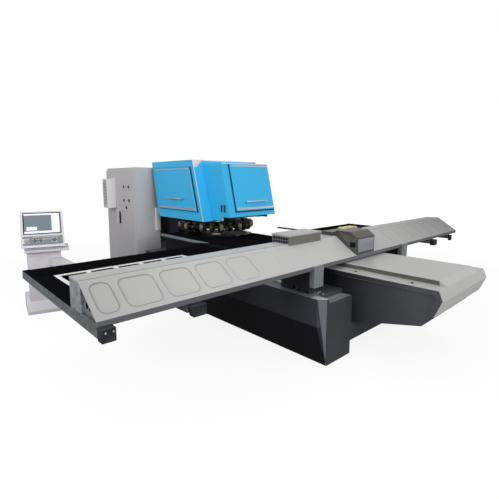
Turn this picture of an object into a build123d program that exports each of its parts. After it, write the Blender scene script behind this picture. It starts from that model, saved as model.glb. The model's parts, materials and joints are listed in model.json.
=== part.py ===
from build123d import *
from math import atan2, cos, radians, sin, tan
import os

# A turret punch press: a C-frame with two turrets under a hood, a long beam that carries the
# sheet tables and moves along Y, a cabinet and an operator's console. Millimetres, +Z up.
# The origin is on the floor below the punch. The beam's side of the machine is -Y.

os.makedirs("parts", exist_ok=True)

# Fits
clearance = 1.0
running_fit = 0.05
slide_gap = 0.3
overrun = 60.0

# Levels above the floor
bed_top = 650.0
table_top = 900.0
sheet_line = 908.0
girder_bottom = 910.0

# Bed
bed_half_width = 1060.0
bed_floor_half_width = 985.0
bed_front = -2386.0
bed_rear = 2350.0
bed_crease = 385.0
foot_width = 400.0
foot_lift = 135.0
corner_facet = 62.0
ledge_half_width = 965.0
ledge_depth = 120.0
ledge_drop = 42.0
anchor_radius = 13.0
anchor_depth = 60.0
anchor_x = bed_floor_half_width - foot_width / 2
anchor_y = 900.0
bed_shoulder = 1000.0
bed_tail_half_width = 500.0

# Rails and runners of the Y slide
rail_inset = 150.0
rail_x = bed_half_width - rail_inset
rail_width = 50.0
rail_height = 30.0
rail_front = -2240.0
rail_rear = -480.0
runner_width = 150.0
runner_length = 150.0
runner_lift = 5.0
runner_height = 35.0

# Front housing and its cover
cover_half_width = 590.0
cover_sheet = 15.0
cover_level = 834.0
cover_rear = -940.0
housing_half_width = 570.0
nose_crease_y = -3208.0
nose_tip_y = -3245.0
nose_tip_z = 749.0
nose_lower_y = -3185.0
nose_lower_z = 602.0
housing_chin_y = -3070.0
housing_chin_z = 482.0
housing_root_z = 332.0
deck_half_width = 415.0
deck_level = 876.0
deck_front = -3140.0
dimple_radius = 12.0
dimple_depth = 4.0
dimple_inset = 75.0
dimple_places = (-2950.0, -2380.0)
cover_flange = 45.0

# Centre table
centre_left = -800.0
centre_right = 300.0
centre_front = -930.0
centre_rear = 885.0
centre_plate = 20.0
centre_brush = 10.0
strip_left = -940.0
strip_front = -270.0
strip_shoulder = -45.0
strip_rear = 960.0
strip_tail = 740.0
bearer_inset = 80.0
bearer_width = 40.0
turret_relief = 620.0

# C-frame
frame_half_width = 300.0
lower_arm_front = -250.0
lower_arm_top = 740.0
upper_arm_front = -90.0
upper_arm_bottom = 1180.0
throat_rear = 1250.0
frame_rear_top = 1850.0
frame_setback = 60.0

# Turrets and ram
turret_y = 554.0
turret_radius = 590.0
pitch_radius = 536.0
station_count = 24
tool_radius = 50.0
tool_size_shares = (1.0, 0.7, 0.84, 0.6)
tool_rim = 9.0
tool_head = 35.0
tool_bottom = 955.0
upper_disc_bottom = 1010.0
upper_disc_height = 50.0
lower_disc_bottom = 770.0
lower_disc_height = 80.0
die_height = 20.0
spindle_radius = 80.0
spindle_flange_radius = 150.0
spindle_flange = 25.0
tool_gap = 0.5
ram_radius = 55.0
ram_bottom = 1128.0
ram_length = 200.0
ram_bore_depth = 220.0

# Hood
hood_sheet = 12.0
hood_rear_half_width = 640.0
hood_rear_bottom = 1143.0
hood_rear_top = 2042.0
hood_rear_front_low = 36.0
hood_rear_front_high = 287.0
hood_rear_back_low = 1295.0
hood_rear_back_high = 1490.0
hood_front_half_width = 457.0
hood_front_low_y = -355.0
hood_front_low_z = 1219.0
hood_front_high_y = -165.0
hood_front_high_z = 1990.0
hood_skirt_y = -187.0
hood_skirt_z = 1161.0
hood_floor = 16.0
hood_floor_right = 300.0

# Hatches
hatch_sheet = 20.0
hatch_lip = 35.0
side_hatch_low = 1285.0
side_hatch_high = 1935.0
side_hatch_front_margin = 95.0
side_hatch_rear_margin = 95.0
front_hatch_left = -325.0
front_hatch_right = 440.0
front_hatch_foot = 84.0
front_hatch_head = 22.0
trim_height = 22.0
trim_sheet = 4.0
trim_inset = 16.0
grip_length = 300.0
grip_rise = 90.0
grip_bar = 16.0
grip_reach = 40.0

# Beam section
beam_left = -3020.0
beam_right = 2800.0
ridge_back = -1746.0
ridge_front = -1924.0
ridge_level = 1118.0
slope_foot_y = -2205.0
slope_foot_z = 930.0
beam_sheet = 10.0
fascia_drop = 41.0
end_recess = 25.0
end_sheet = 12.0
bracket_front = -1945.0
panel_first_width = 130.0
panel_width = 248.0
panel_gap = 57.0
panel_margin = 40.0
panel_height = 250.0
panel_radius = 52.0
panel_depth = 2.0

# Posts
post_width = 145.0
post_bottom = 718.0
post_front = -2165.0
post_rear = -1800.0
hook_front = -2225.0
hook_shoulder = 888.0
hook_top = 910.0

# Sheet tables
board_front = -1520.0
board_rear = -367.0
board_height = 50.0
left_board_inner = -950.0
table_right = 2530.0
end_bar_width = 60.0
end_bar_bottom = 828.0
bar_bottom = 830.0
bar_shoulder = 885.0
bar_width = 130.0
inner_bar_width = 40.0
inner_bar_front = -1850.0
left_inner_x = -1036.0
right_inner_x = 1170.0
left_bar_x = -2335.0
left_mid_bar_x = -1650.0
right_bar_x = 1820.0
right_mid_bar_x = 1500.0
tongue_rear = 240.0
tongue_height = 25.0
back_rail_width = 60.0
grid_left = -2854.0
grid_right = -1500.0
grid_front = -1500.0
grid_rear = -750.0
grid_sheet = 8.0
grid_rail = 40.0
grid_columns = 5
grid_rows = 2
end_block_width = 85.0
end_block_inset = 30.0
end_block_depth = 105.0
end_block_bottom = 830.0
end_block_top = 905.0
bar_block_depth = 55.0
bar_block_bottom = 808.0
far_block_depth = 35.0
far_block_bottom = 800.0

# Boxes on the beam
valve_left = -1030.0
valve_right = -520.0
valve_front = -1950.0
valve_back = -1710.0
valve_top = 1203.0
valve_chamfer = 14.0
drive_left = -210.0
drive_right = 160.0
drive_eave = 1120.0
drive_roof = 1181.0
drive_roof_front = -2120.0
drive_roof_back = -1934.0
drive_back = -1872.0
step_left = -238.0
step_front = -1900.0
step_top = 1160.0
motor_left = 68.0
motor_right = 345.0
motor_back = -1756.0
motor_top = 1170.0
motor_chamfer = 18.0

# X slide and clamps
x_rail_half_length = 1960.0
x_rail_height = 25.0
x_rail_depth = 20.0
x_rail_low = 945.0
x_rail_high = 1055.0
carriage_half_length = 650.0
carriage_bottom = 925.0
carriage_top = 1100.0
carriage_plate = 34.0
carriage_lip = 12.0
clamp_x = 480.0
clamp_width = 140.0
clamp_cheek = 28.0
clamp_base = 6.0
clamp_reach = 150.0
clamp_cheek_reach = 90.0
clamp_top = 985.0
pin_radius = 10.0
pin_reach = 50.0
pin_level = 957.0
jaw_tail_gap = 8.0
jaw_tip = 148.0
jaw_sheet_gap = 6.0
jaw_nose = 20.0
jaw_heel = 932.0
jaw_crown = 978.0
jaw_tip_height = 20.0

# Cabinet
cabinet_left = -943.0
cabinet_right = -bed_tail_half_width
cabinet_front = 1510.0
cabinet_rear = 2640.0
cabinet_height = 1955.0
cabinet_wall = 20.0
door_front = 1525.0
door_rear = 2170.0
door_bottom = 60.0
door_top = 1915.0
door_lip = 30.0
fan_depth = 150.0
fan_front = 2245.0
fan_rear = 2450.0
fan_bottom = 1245.0
fan_top = 1770.0
lamp_radius = 16.0
lamp_depth = 14.0
lamp_places = ((1728.0, 1628.0), (1916.0, 1628.0), (1724.0, 1393.0), (1920.0, 1393.0), (1833.0, 1267.0))
handle_y = 2100.0
handle_pivot_z = 1205.0
handle_boss_radius = 20.0
handle_boss = 34.0
handle_width = 30.0
handle_length = 215.0
handle_sheet = 36.0
plate_sheet = 15.0
module_count = 4
module_depth = 170.0
module_height = 360.0
module_bottom = 900.0
plate_margin = 80.0

# Console, in its own turned frame
console_x = -2439.0
console_y = 1221.0
console_turn = -14.3
foot_half_width = 235.0
foot_half_depth = 200.0
foot_front_height = 90.0
foot_rear_height = 220.0
pedestal_half_width = 200.0
pedestal_front = -165.0
pedestal_rear = 140.0
shelf_left = -218.0
shelf_right = 300.0
shelf_front = -245.0
shelf_rear = 170.0
shelf_bottom = 815.0
shelf_height = 35.0
neck_half_width = 225.0
neck_front = -200.0
neck_rear = 60.0
neck_top = 980.0
head_half_width = 250.0
head_front_low = -275.0
head_front_high = -45.0
head_depth = 100.0
head_bottom = 885.0
head_top = 1325.0
screen_width = 420.0
screen_height = 285.0
screen_sheet = 6.0
screen_drop = 20.0
button_row = 96.0
button_places = (-185.0, -95.0, -25.0, 130.0)
stop_radius = 20.0
button_radius = 12.0
knob_radius = 17.0
button_proud = 14.0
button_depth = 16.0
button_room = 8.0
duct_width = 140.0
duct_height = 100.0
duct_bottom = 620.0
duct_x = -2350.0
duct_turn_y = 300.0


def block(x_span, y_span, z_span, mode=Mode.ADD):
    """Add or cut a box given by where it starts and ends along each axis."""
    spans = (x_span, y_span, z_span)
    middle = tuple((low + high) / 2 for low, high in spans)
    with Locations(middle):
        Box(*(high - low for low, high in spans), mode=mode)


def prism_x(points, x_span, base=Plane.XY, mode=Mode.ADD):
    """Extrude a Y-Z outline between two X positions of a base plane."""
    start, end = x_span
    origin = base.from_local_coords(Vector(start, 0, 0))
    with BuildSketch(Plane(origin=origin, x_dir=base.y_dir, z_dir=base.x_dir)) as outline:
        with BuildLine():
            Polyline(*points, close=True)
        make_face()
    extrude(outline.sketch, amount=end - start, mode=mode)


def rod_x(y, z, radius, x_span, mode=Mode.ADD):
    """Add or cut a round bar along X."""
    start, end = x_span
    with BuildSketch(Plane.YZ.offset(start)) as outline:
        with Locations((y, z)):
            Circle(radius)
    extrude(outline.sketch, amount=end - start, mode=mode)


def rod_z(x, y, radius, z_span, mode=Mode.ADD):
    """Add or cut an upright round bar."""
    start, end = z_span
    with BuildSketch(Plane.XY.offset(start)) as outline:
        with Locations((x, y)):
            Circle(radius)
    extrude(outline.sketch, amount=end - start, mode=mode)


def keep(builder, label):
    """Label a finished piece and write its file."""
    builder.part.label = label
    export_step(builder.part, f"parts/{label}.step")


def mirrored(span, side):
    """A span of X on the right, or its mirror image on the left."""
    return span if side > 0 else (-span[1], -span[0])


sides = ((-1, "left"), (1, "right"))

# Bed: feet, a raised middle, walls that lean out to a crease, and facets on the front corners
with BuildPart() as bed:
    inner_foot = bed_floor_half_width - foot_width
    right_outline = (
        (inner_foot, foot_lift),
        (inner_foot, 0),
        (bed_floor_half_width, 0),
        (bed_half_width, bed_crease),
        (bed_half_width, bed_top),
    )
    with BuildSketch(Plane.XZ.offset(-bed_rear)):
        with BuildLine():
            left_outline = [(-x, z) for x, z in reversed(right_outline)]
            Polyline(*right_outline, *left_outline, close=True)
        make_face()
    extrude(amount=bed_rear - bed_front)
    bed_reach = bed_half_width + bed_floor_half_width
    tail_x = (-bed_tail_half_width, bed_tail_half_width)
    block(tail_x, (bed_shoulder, bed_rear), (0, foot_lift))
    front_strip = (bed_front, bed_front + ledge_depth)
    block((-ledge_half_width, ledge_half_width), front_strip, (bed_top - ledge_drop, bed_top), Mode.SUBTRACT)
    for side, _ in sides:
        floor_corner = Vector(side * bed_floor_half_width, bed_front, 0)
        on_side = Vector(side * bed_half_width, bed_front + corner_facet, bed_top)
        on_front = Vector(side * (bed_half_width - corner_facet), bed_front, bed_top)
        outward = (on_side - floor_corner).cross(on_front - floor_corner) * side
        split(bisect_by=Plane(origin=floor_corner, z_dir=outward), keep=Keep.BOTTOM)
    for side, _ in sides:
        beside_tail = mirrored((bed_tail_half_width, bed_reach), side)
        block(beside_tail, (bed_shoulder, bed_rear), (0, bed_top), Mode.SUBTRACT)
    for x in (-anchor_x, anchor_x):
        for y in (-anchor_y, anchor_y):
            rod_z(x, y, anchor_radius, (0, anchor_depth), Mode.SUBTRACT)
keep(bed, "bed")

# Rails of the Y slide
for side, name in sides:
    with BuildPart() as y_rail:
        rail_span = (rail_x - rail_width / 2, rail_x + rail_width / 2)
        block(mirrored(rail_span, side), (rail_front, rail_rear), (bed_top, bed_top + rail_height))
    keep(y_rail, f"y_rail_{name}")

# Front housing under a folded cover with a raised deck
nose_outer = (
    (cover_rear, cover_level),
    (nose_crease_y, cover_level),
    (nose_tip_y, nose_tip_z),
    (nose_lower_y, nose_lower_z),
)


def inset_path(points, distance):
    """Offset an open path to its left by mitred corners."""
    ways = [(Vector(*b) - Vector(*a)).normalized() for a, b in zip(points, points[1:])]
    turned = [Vector(-way.Y, way.X) for way in ways]
    moved = []
    for index, point in enumerate(points):
        before = turned[max(index - 1, 0)]
        after = turned[min(index, len(turned) - 1)]
        middle = (before + after).normalized()
        moved.append(Vector(*point) + middle * (distance / middle.dot(after)))
    return [(point.X, point.Y) for point in moved]


nose_inner = inset_path(nose_outer, cover_sheet)

with BuildPart() as front_housing:
    housing_outline = nose_inner + [
        (housing_chin_y, housing_chin_z),
        (bed_front, housing_root_z),
        (bed_front, bed_top),
        (cover_rear, bed_top),
    ]
    prism_x(housing_outline, (-housing_half_width, housing_half_width))
    block(
        (-housing_half_width, housing_half_width),
        front_strip,
        (bed_top - ledge_drop, bed_top),
    )
keep(front_housing, "front_housing")

with BuildPart() as front_cover:
    prism_x(list(nose_outer) + nose_inner[::-1], (-cover_half_width, cover_half_width))
    deck_outline = (
        (cover_rear, cover_level),
        (cover_rear, deck_level),
        (deck_front, deck_level),
        (nose_crease_y, cover_level),
    )
    prism_x(deck_outline, (-deck_half_width, deck_half_width))
    flange_outline = list(nose_outer) + inset_path(nose_outer, cover_flange)[::-1]
    for side, _ in sides:
        prism_x(flange_outline, mirrored((housing_half_width, cover_half_width), side))
    for x in (-cover_half_width + dimple_inset, cover_half_width - dimple_inset):
        for y in dimple_places:
            rod_z(x, y, dimple_radius, (cover_level - dimple_depth, cover_level), Mode.SUBTRACT)
keep(front_cover, "front_cover")

# Centre table: a plate on two bearers, with brushes on it and a light strip along its left side
plate_top = table_top - centre_brush
with BuildPart() as centre_table:
    y_span = (centre_front, centre_rear)
    block((centre_left, centre_right), y_span, (plate_top - centre_plate, plate_top))
    with BuildSketch(Plane.XY.offset(plate_top - centre_plate)):
        with BuildLine():
            Polyline(
                (centre_left, strip_front),
                (centre_left, strip_rear),
                (strip_left, strip_tail),
                (strip_left, strip_shoulder),
                close=True,
            )
        make_face()
    extrude(amount=centre_plate + centre_brush)
    bearers = (
        (-(turret_relief + rail_x - rail_width / 2) / 2, centre_rear),
        (centre_right - bearer_inset, lower_arm_front),
    )
    for x, bearer_rear in bearers:
        bearer = (x - bearer_width / 2, x + bearer_width / 2)
        block(bearer, (centre_front, bearer_rear), (bed_top, plate_top - centre_plate))
    rod_z(0, turret_y, turret_relief, (plate_top - centre_plate, table_top), Mode.SUBTRACT)
keep(centre_table, "centre_table")

with BuildPart() as centre_brushes:
    block((centre_left, centre_right), y_span, (plate_top, table_top))
    rod_z(0, turret_y, turret_relief, (plate_top, table_top), Mode.SUBTRACT)
keep(centre_brushes, "centre_brushes")

# C-frame with the bore of the ram
hood_inner_top = hood_front_high_z - hood_sheet
hood_lean = (hood_rear_front_high - hood_rear_front_low) / (hood_rear_top - hood_rear_bottom)
hood_tail_lean = (hood_rear_back_high - hood_rear_back_low) / (hood_rear_top - hood_rear_bottom)


def hood_line(z):
    """Y of the rear hood's leaning front wall at a height."""
    return hood_rear_front_low + hood_lean * (z - hood_rear_bottom)


def hood_tail(z):
    """Y of the rear hood's back edge at a height."""
    return hood_rear_back_low + hood_tail_lean * (z - hood_rear_bottom)


wall_run = hood_sheet / cos(atan2(hood_lean, 1))
arm_step = hood_line(hood_rear_top) + wall_run
frame_neck = hood_tail(hood_rear_top) - frame_setback
ram_y = turret_y - pitch_radius
with BuildPart() as c_frame:
    frame_outline = (
        (lower_arm_front, bed_top),
        (bed_rear, bed_top),
        (bed_rear, frame_rear_top),
        (frame_neck, frame_rear_top),
        (frame_neck, hood_rear_top - hood_sheet),
        (arm_step, hood_rear_top - hood_sheet),
        (arm_step, hood_inner_top),
        (upper_arm_front, hood_inner_top),
        (upper_arm_front, upper_arm_bottom),
        (throat_rear, upper_arm_bottom),
        (throat_rear, lower_arm_top),
        (lower_arm_front, lower_arm_top),
    )
    prism_x(frame_outline, (-frame_half_width, frame_half_width))
    bore_top = upper_arm_bottom + ram_bore_depth
    rod_z(0, ram_y, ram_radius + running_fit, (upper_arm_bottom, bore_top), Mode.SUBTRACT)
keep(c_frame, "c_frame")

# Rear hood: a leaning sheet box, open below and behind, with an opening for the side hatch
with BuildPart() as hood_rear:
    rear_outline = (
        (hood_line(hood_rear_bottom), hood_rear_bottom),
        (hood_line(hood_rear_top), hood_rear_top),
        (hood_tail(hood_rear_top), hood_rear_top),
        (hood_tail(hood_rear_bottom), hood_rear_bottom),
    )
    prism_x(rear_outline, (-hood_rear_half_width, hood_rear_half_width))
    below = hood_rear_bottom - overrun
    under_top = hood_rear_top - hood_sheet
    behind = hood_rear_back_high + overrun
    hollow = (
        (hood_line(below) + wall_run, below),
        (hood_line(under_top) + wall_run, under_top),
        (behind, under_top),
        (behind, below),
    )
    inner_half = hood_rear_half_width - hood_sheet
    prism_x(hollow, (-inner_half, inner_half), mode=Mode.SUBTRACT)
    passage = (
        (hood_line(below) - overrun, below),
        (hood_line(hood_inner_top) - overrun, hood_inner_top),
        (hood_line(hood_inner_top) + overrun, hood_inner_top),
        (hood_line(below) + overrun, below),
    )
    passage_half = hood_front_half_width - hood_sheet
    prism_x(passage, (-passage_half, passage_half), mode=Mode.SUBTRACT)
    hatch_hole = (
        (hood_line(side_hatch_low) + side_hatch_front_margin + hatch_lip, side_hatch_low + hatch_lip),
        (hood_line(side_hatch_high) + side_hatch_front_margin + hatch_lip, side_hatch_high - hatch_lip),
        (hood_tail(side_hatch_high) - side_hatch_rear_margin - hatch_lip, side_hatch_high - hatch_lip),
        (hood_tail(side_hatch_low) - side_hatch_rear_margin - hatch_lip, side_hatch_low + hatch_lip),
    )
    left_wall = (-hood_rear_half_width - overrun, -inner_half + overrun)
    prism_x(hatch_hole, left_wall, mode=Mode.SUBTRACT)
keep(hood_rear, "hood_rear")

# Front hood: a narrower box with a leaning face
front_lean = (hood_front_high_y - hood_front_low_y) / (hood_front_high_z - hood_front_low_z)
face_tilt = atan2(front_lean, 1)
face_run = hood_sheet / cos(face_tilt)


def face_line(z):
    """Y of the front hood's leaning face at a height."""
    return hood_front_low_y + front_lean * (z - hood_front_low_z)


face_length = (hood_front_high_z - hood_front_low_z) / cos(face_tilt)
face_plane = Plane(
    origin=(0, hood_front_low_y, hood_front_low_z),
    x_dir=(1, 0, 0),
    z_dir=(0, -cos(face_tilt), sin(face_tilt)),
)
with BuildPart() as hood_front:
    front_outline = (
        (face_line(hood_front_low_z), hood_front_low_z),
        (face_line(hood_front_high_z), hood_front_high_z),
        (hood_line(hood_front_high_z), hood_front_high_z),
        (hood_line(hood_skirt_z), hood_skirt_z),
        (hood_skirt_y, hood_skirt_z),
        (hood_skirt_y, hood_front_low_z),
    )
    prism_x(front_outline, (-hood_front_half_width, hood_front_half_width))
    below = hood_skirt_z - overrun
    hollow = (
        (face_line(below) + face_run, below),
        (face_line(hood_inner_top) + face_run, hood_inner_top),
        (hood_line(hood_inner_top) + overrun, hood_inner_top),
        (hood_line(hood_inner_top) + overrun, below),
    )
    prism_x(hollow, (-passage_half, passage_half), mode=Mode.SUBTRACT)
    with BuildSketch(face_plane):
        hole_left = front_hatch_left + hatch_lip
        hole_right = front_hatch_right - hatch_lip
        hole_low = front_hatch_foot + hatch_lip
        hole_high = face_length - front_hatch_head - hatch_lip
        with Locations(((hole_left + hole_right) / 2, (hole_low + hole_high) / 2)):
            Rectangle(hole_right - hole_left, hole_high - hole_low)
    extrude(amount=-overrun, mode=Mode.SUBTRACT)
keep(hood_front, "hood_front")

with BuildPart() as hood_base:
    floor_front = hood_front_low_y + hood_sheet
    floor_span = (hood_front_low_z - hood_floor, hood_front_low_z)
    floor_half = hood_front_half_width - hood_sheet / 2
    block((-floor_half, hood_floor_right), (floor_front, hood_skirt_y), floor_span)
keep(hood_base, "hood_base_plate")


def grip(plane, x, y, depth):
    """A bar handle on two legs that stands on a plane."""
    with BuildSketch(plane.offset(depth)) as legs:
        for step in (-1, 1):
            with Locations((x + step * (grip_length - grip_bar) / 2, y)):
                Rectangle(grip_bar, grip_bar)
    extrude(legs.sketch, amount=grip_reach)
    with BuildSketch(plane.offset(depth + grip_reach)) as bar:
        with Locations((x, y)):
            Rectangle(grip_length, grip_bar)
    extrude(bar.sketch, amount=grip_bar)


# Front hatch, hinged at its top edge, with its trims and handle
hatch_low = front_hatch_foot
hatch_high = face_length - front_hatch_head
hatch_middle_x = (front_hatch_left + front_hatch_right) / 2
hatch_width = front_hatch_right - front_hatch_left
with BuildPart() as front_hatch:
    with BuildSketch(face_plane.offset(slide_gap)):
        with Locations((hatch_middle_x, (hatch_low + hatch_high) / 2)):
            Rectangle(hatch_width, hatch_high - hatch_low)
    extrude(amount=hatch_sheet)
keep(front_hatch, "front_hatch")

with BuildPart() as front_hatch_fittings:
    fitting_level = slide_gap + hatch_sheet
    for y in (hatch_low + trim_inset + trim_height / 2, hatch_high - trim_inset - trim_height / 2):
        with BuildSketch(face_plane.offset(fitting_level)):
            with Locations((hatch_middle_x, y)):
                Rectangle(hatch_width - trim_inset - trim_inset, trim_height)
        extrude(amount=trim_sheet)
    grip(face_plane, hatch_middle_x, hatch_low + grip_rise, fitting_level)
keep(front_hatch_fittings, "front_hatch_fittings")

# Side hatch on the rear hood's left wall
side_plane = Plane(origin=(-hood_rear_half_width, 0, 0), x_dir=(0, -1, 0), z_dir=(-1, 0, 0))
hatch_corners = (
    (hood_line(side_hatch_low) + side_hatch_front_margin, side_hatch_low),
    (hood_line(side_hatch_high) + side_hatch_front_margin, side_hatch_high),
    (hood_tail(side_hatch_high) - side_hatch_rear_margin, side_hatch_high),
    (hood_tail(side_hatch_low) - side_hatch_rear_margin, side_hatch_low),
)
with BuildPart() as side_hatch:
    hatch_face = -hood_rear_half_width - slide_gap
    prism_x(hatch_corners, (hatch_face - hatch_sheet, hatch_face))
keep(side_hatch, "side_hatch")


def side_trim(low):
    """Outline of a trim strip across the side hatch."""
    high = low + trim_height
    return (
        (hood_line(low) + side_hatch_front_margin + trim_inset, low),
        (hood_line(high) + side_hatch_front_margin + trim_inset, high),
        (hood_tail(high) - side_hatch_rear_margin - trim_inset, high),
        (hood_tail(low) - side_hatch_rear_margin - trim_inset, low),
    )


with BuildPart() as side_hatch_fittings:
    trim_face = hatch_face - hatch_sheet
    for low in (side_hatch_low + trim_inset, side_hatch_high - trim_inset - trim_height):
        prism_x(side_trim(low), (trim_face - trim_sheet, trim_face))
    grip_middle = (hatch_corners[0][0] + hatch_corners[3][0]) / 2
    grip(side_plane, -grip_middle, side_hatch_low + grip_rise, slide_gap + hatch_sheet)
keep(side_hatch_fittings, "side_hatch_fittings")

# Spindles that carry the two turrets
with BuildPart() as spindle_upper:
    flange_top = upper_disc_bottom - slide_gap
    rod_z(0, turret_y, spindle_flange_radius, (flange_top - spindle_flange, flange_top))
    rod_z(0, turret_y, spindle_radius, (flange_top, upper_arm_bottom))
keep(spindle_upper, "spindle_upper")

with BuildPart() as spindle_lower:
    seat_top = lower_disc_bottom - slide_gap
    rod_z(0, turret_y, spindle_flange_radius, (lower_arm_top, seat_top))
    rod_z(0, turret_y, spindle_radius, (seat_top, lower_disc_bottom + lower_disc_height))
keep(spindle_lower, "spindle_lower")

# Turrets: each station's tool stands in its own hole, above a die; the working die is lifted
station_step = 360 / station_count
stations = []
for index in range(station_count):
    angle = radians(index * station_step - 90)
    share = tool_size_shares[index % len(tool_size_shares)]
    stations.append((pitch_radius * cos(angle), turret_y + pitch_radius * sin(angle), tool_radius * share))

upper_disc_top = upper_disc_bottom + upper_disc_height
lower_disc_top = lower_disc_bottom + lower_disc_height
bore_radius = spindle_radius + running_fit
with BuildPart() as upper_turret:
    rod_z(0, turret_y, turret_radius, (upper_disc_bottom, upper_disc_top))
    rod_z(0, turret_y, bore_radius, (upper_disc_bottom, upper_disc_top), Mode.SUBTRACT)
    for x, y, radius in stations:
        rod_z(x, y, radius + tool_gap, (upper_disc_bottom, upper_disc_top), Mode.SUBTRACT)
keep(upper_turret, "upper_turret")

with BuildPart() as punch_tools:
    for x, y, radius in stations:
        rod_z(x, y, radius, (tool_bottom, upper_disc_top))
        rod_z(x, y, radius + tool_rim, (upper_disc_top, upper_disc_top + tool_head))
keep(punch_tools, "punch_tools")

with BuildPart() as lower_turret:
    rod_z(0, turret_y, turret_radius, (lower_disc_bottom, lower_disc_top))
    rod_z(0, turret_y, bore_radius, (lower_disc_bottom, lower_disc_top), Mode.SUBTRACT)
keep(lower_turret, "lower_turret")

with BuildPart() as die_set:
    for x, y, radius in stations:
        rod_z(x, y, radius + tool_rim, (lower_disc_top, lower_disc_top + die_height))
    x, y, radius = stations[0]
    rod_z(x, y, radius, (lower_disc_top, sheet_line))
keep(die_set, "die_set")

with BuildPart() as ram:
    rod_z(0, ram_y, ram_radius, (ram_bottom, ram_bottom + ram_length))
keep(ram, "ram")

# Beam: a closed girder, folded covers with pressed panels, a fascia and end plates
slope_angle = atan2(ridge_level - slope_foot_z, ridge_front - slope_foot_y)
sheet_run = beam_sheet / sin(slope_angle)
mitre = beam_sheet * tan(slope_angle / 2)
girder_outline = (
    (ridge_back, girder_bottom),
    (slope_foot_y + sheet_run, girder_bottom),
    (slope_foot_y + sheet_run, slope_foot_z),
    (ridge_front + mitre, ridge_level - beam_sheet),
    (ridge_back, ridge_level - beam_sheet),
)
girder_left = beam_left + end_recess + end_sheet
girder_right = beam_right - end_recess - end_sheet
with BuildPart() as girder:
    prism_x(girder_outline, (girder_left, girder_right))
keep(girder, "girder")

cover_outline = (
    (ridge_back, ridge_level),
    (ridge_front, ridge_level),
    (slope_foot_y, slope_foot_z),
    (slope_foot_y + sheet_run, slope_foot_z),
    (ridge_front + mitre, ridge_level - beam_sheet),
    (ridge_back, ridge_level - beam_sheet),
)
slope_length = (ridge_level - slope_foot_z) / sin(slope_angle)
slope_plane = Plane(
    origin=(0, slope_foot_y, slope_foot_z),
    x_dir=(1, 0, 0),
    z_dir=(0, -sin(slope_angle), cos(slope_angle)),
)
joint_x = (drive_left + drive_right) / 2
panel_pitch = panel_width + panel_gap


def pressed_panels(end_x, inner_x, way):
    """Middle and width of each pressed panel from an end of the beam to the drive housing."""
    panels = [(end_x + way * (panel_margin + panel_first_width / 2), panel_first_width)]
    start = end_x + way * (panel_margin + panel_first_width + panel_gap)
    count = int((abs(inner_x - start)) // panel_pitch)
    for index in range(count):
        panels.append((start + way * (index * panel_pitch + panel_width / 2), panel_width))
    return panels


cover_ends = (
    ("left", beam_left, joint_x, pressed_panels(beam_left, drive_left, 1)),
    ("right", joint_x, beam_right, pressed_panels(beam_right, drive_right, -1)),
)
for name, start, end, panels in cover_ends:
    with BuildPart() as slope_cover:
        prism_x(cover_outline, (start, end))
        with BuildSketch(slope_plane):
            for x, width in panels:
                with Locations((x, slope_length / 2)):
                    RectangleRounded(width, panel_height, panel_radius)
        extrude(amount=-panel_depth, mode=Mode.SUBTRACT)
    keep(slope_cover, f"slope_cover_{name}")

fascia_bottom = slope_foot_z - fascia_drop
with BuildPart() as fascia:
    fascia_span = (slope_foot_y, slope_foot_y + sheet_run)
    block((beam_left, beam_right), fascia_span, (fascia_bottom, slope_foot_z))
keep(fascia, "fascia")

bracket_outline = (
    (ridge_back, girder_bottom),
    (bracket_front, girder_bottom),
    (bracket_front, slope_foot_z + (bracket_front - slope_foot_y - sheet_run) * tan(slope_angle)),
    (ridge_front + mitre, ridge_level - beam_sheet),
    (ridge_back, ridge_level - beam_sheet),
)
left_recess = beam_left + end_recess
right_recess = beam_right - end_recess
end_spans = (
    ("left", left_recess, left_recess + end_sheet, (beam_left, left_recess)),
    ("right", right_recess - end_sheet, right_recess, (right_recess, beam_right)),
)
for name, start, end, bracket_span in end_spans:
    with BuildPart() as end_plate:
        prism_x(girder_outline, (start, end))
        prism_x(bracket_outline, bracket_span)
    keep(end_plate, f"end_plate_{name}")

# Hooked post covers, and the pillars behind them on their runners
runner_top = bed_top + runner_lift + runner_height
post_outline = (
    (hook_front, post_bottom),
    (hook_front, hook_top),
    (slope_foot_y, hook_top),
    (slope_foot_y, hook_shoulder),
    (post_front, hook_shoulder),
    (post_front, post_bottom),
)
for side, name in sides:
    with BuildPart() as post:
        post_span = (rail_x - post_width / 2, rail_x + post_width / 2)
        prism_x(post_outline, mirrored(post_span, side))
    keep(post, f"post_{name}")

with BuildPart() as runner_blocks:
    groove_half = rail_width / 2 + clearance
    groove_top = bed_top + rail_height
    runner_span = (rail_x - runner_width / 2, rail_x + runner_width / 2)
    for side, _ in sides:
        block(mirrored(runner_span, side), (post_front, post_rear), (runner_top, girder_bottom))
        for start in (post_front, post_rear - runner_length):
            y_span = (start, start + runner_length)
            block(mirrored(runner_span, side), y_span, (bed_top + runner_lift, runner_top))
            groove = (rail_x - groove_half, rail_x + groove_half)
            block(mirrored(groove, side), y_span, (bed_top, groove_top), Mode.SUBTRACT)
keep(runner_blocks, "runner_blocks")

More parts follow.
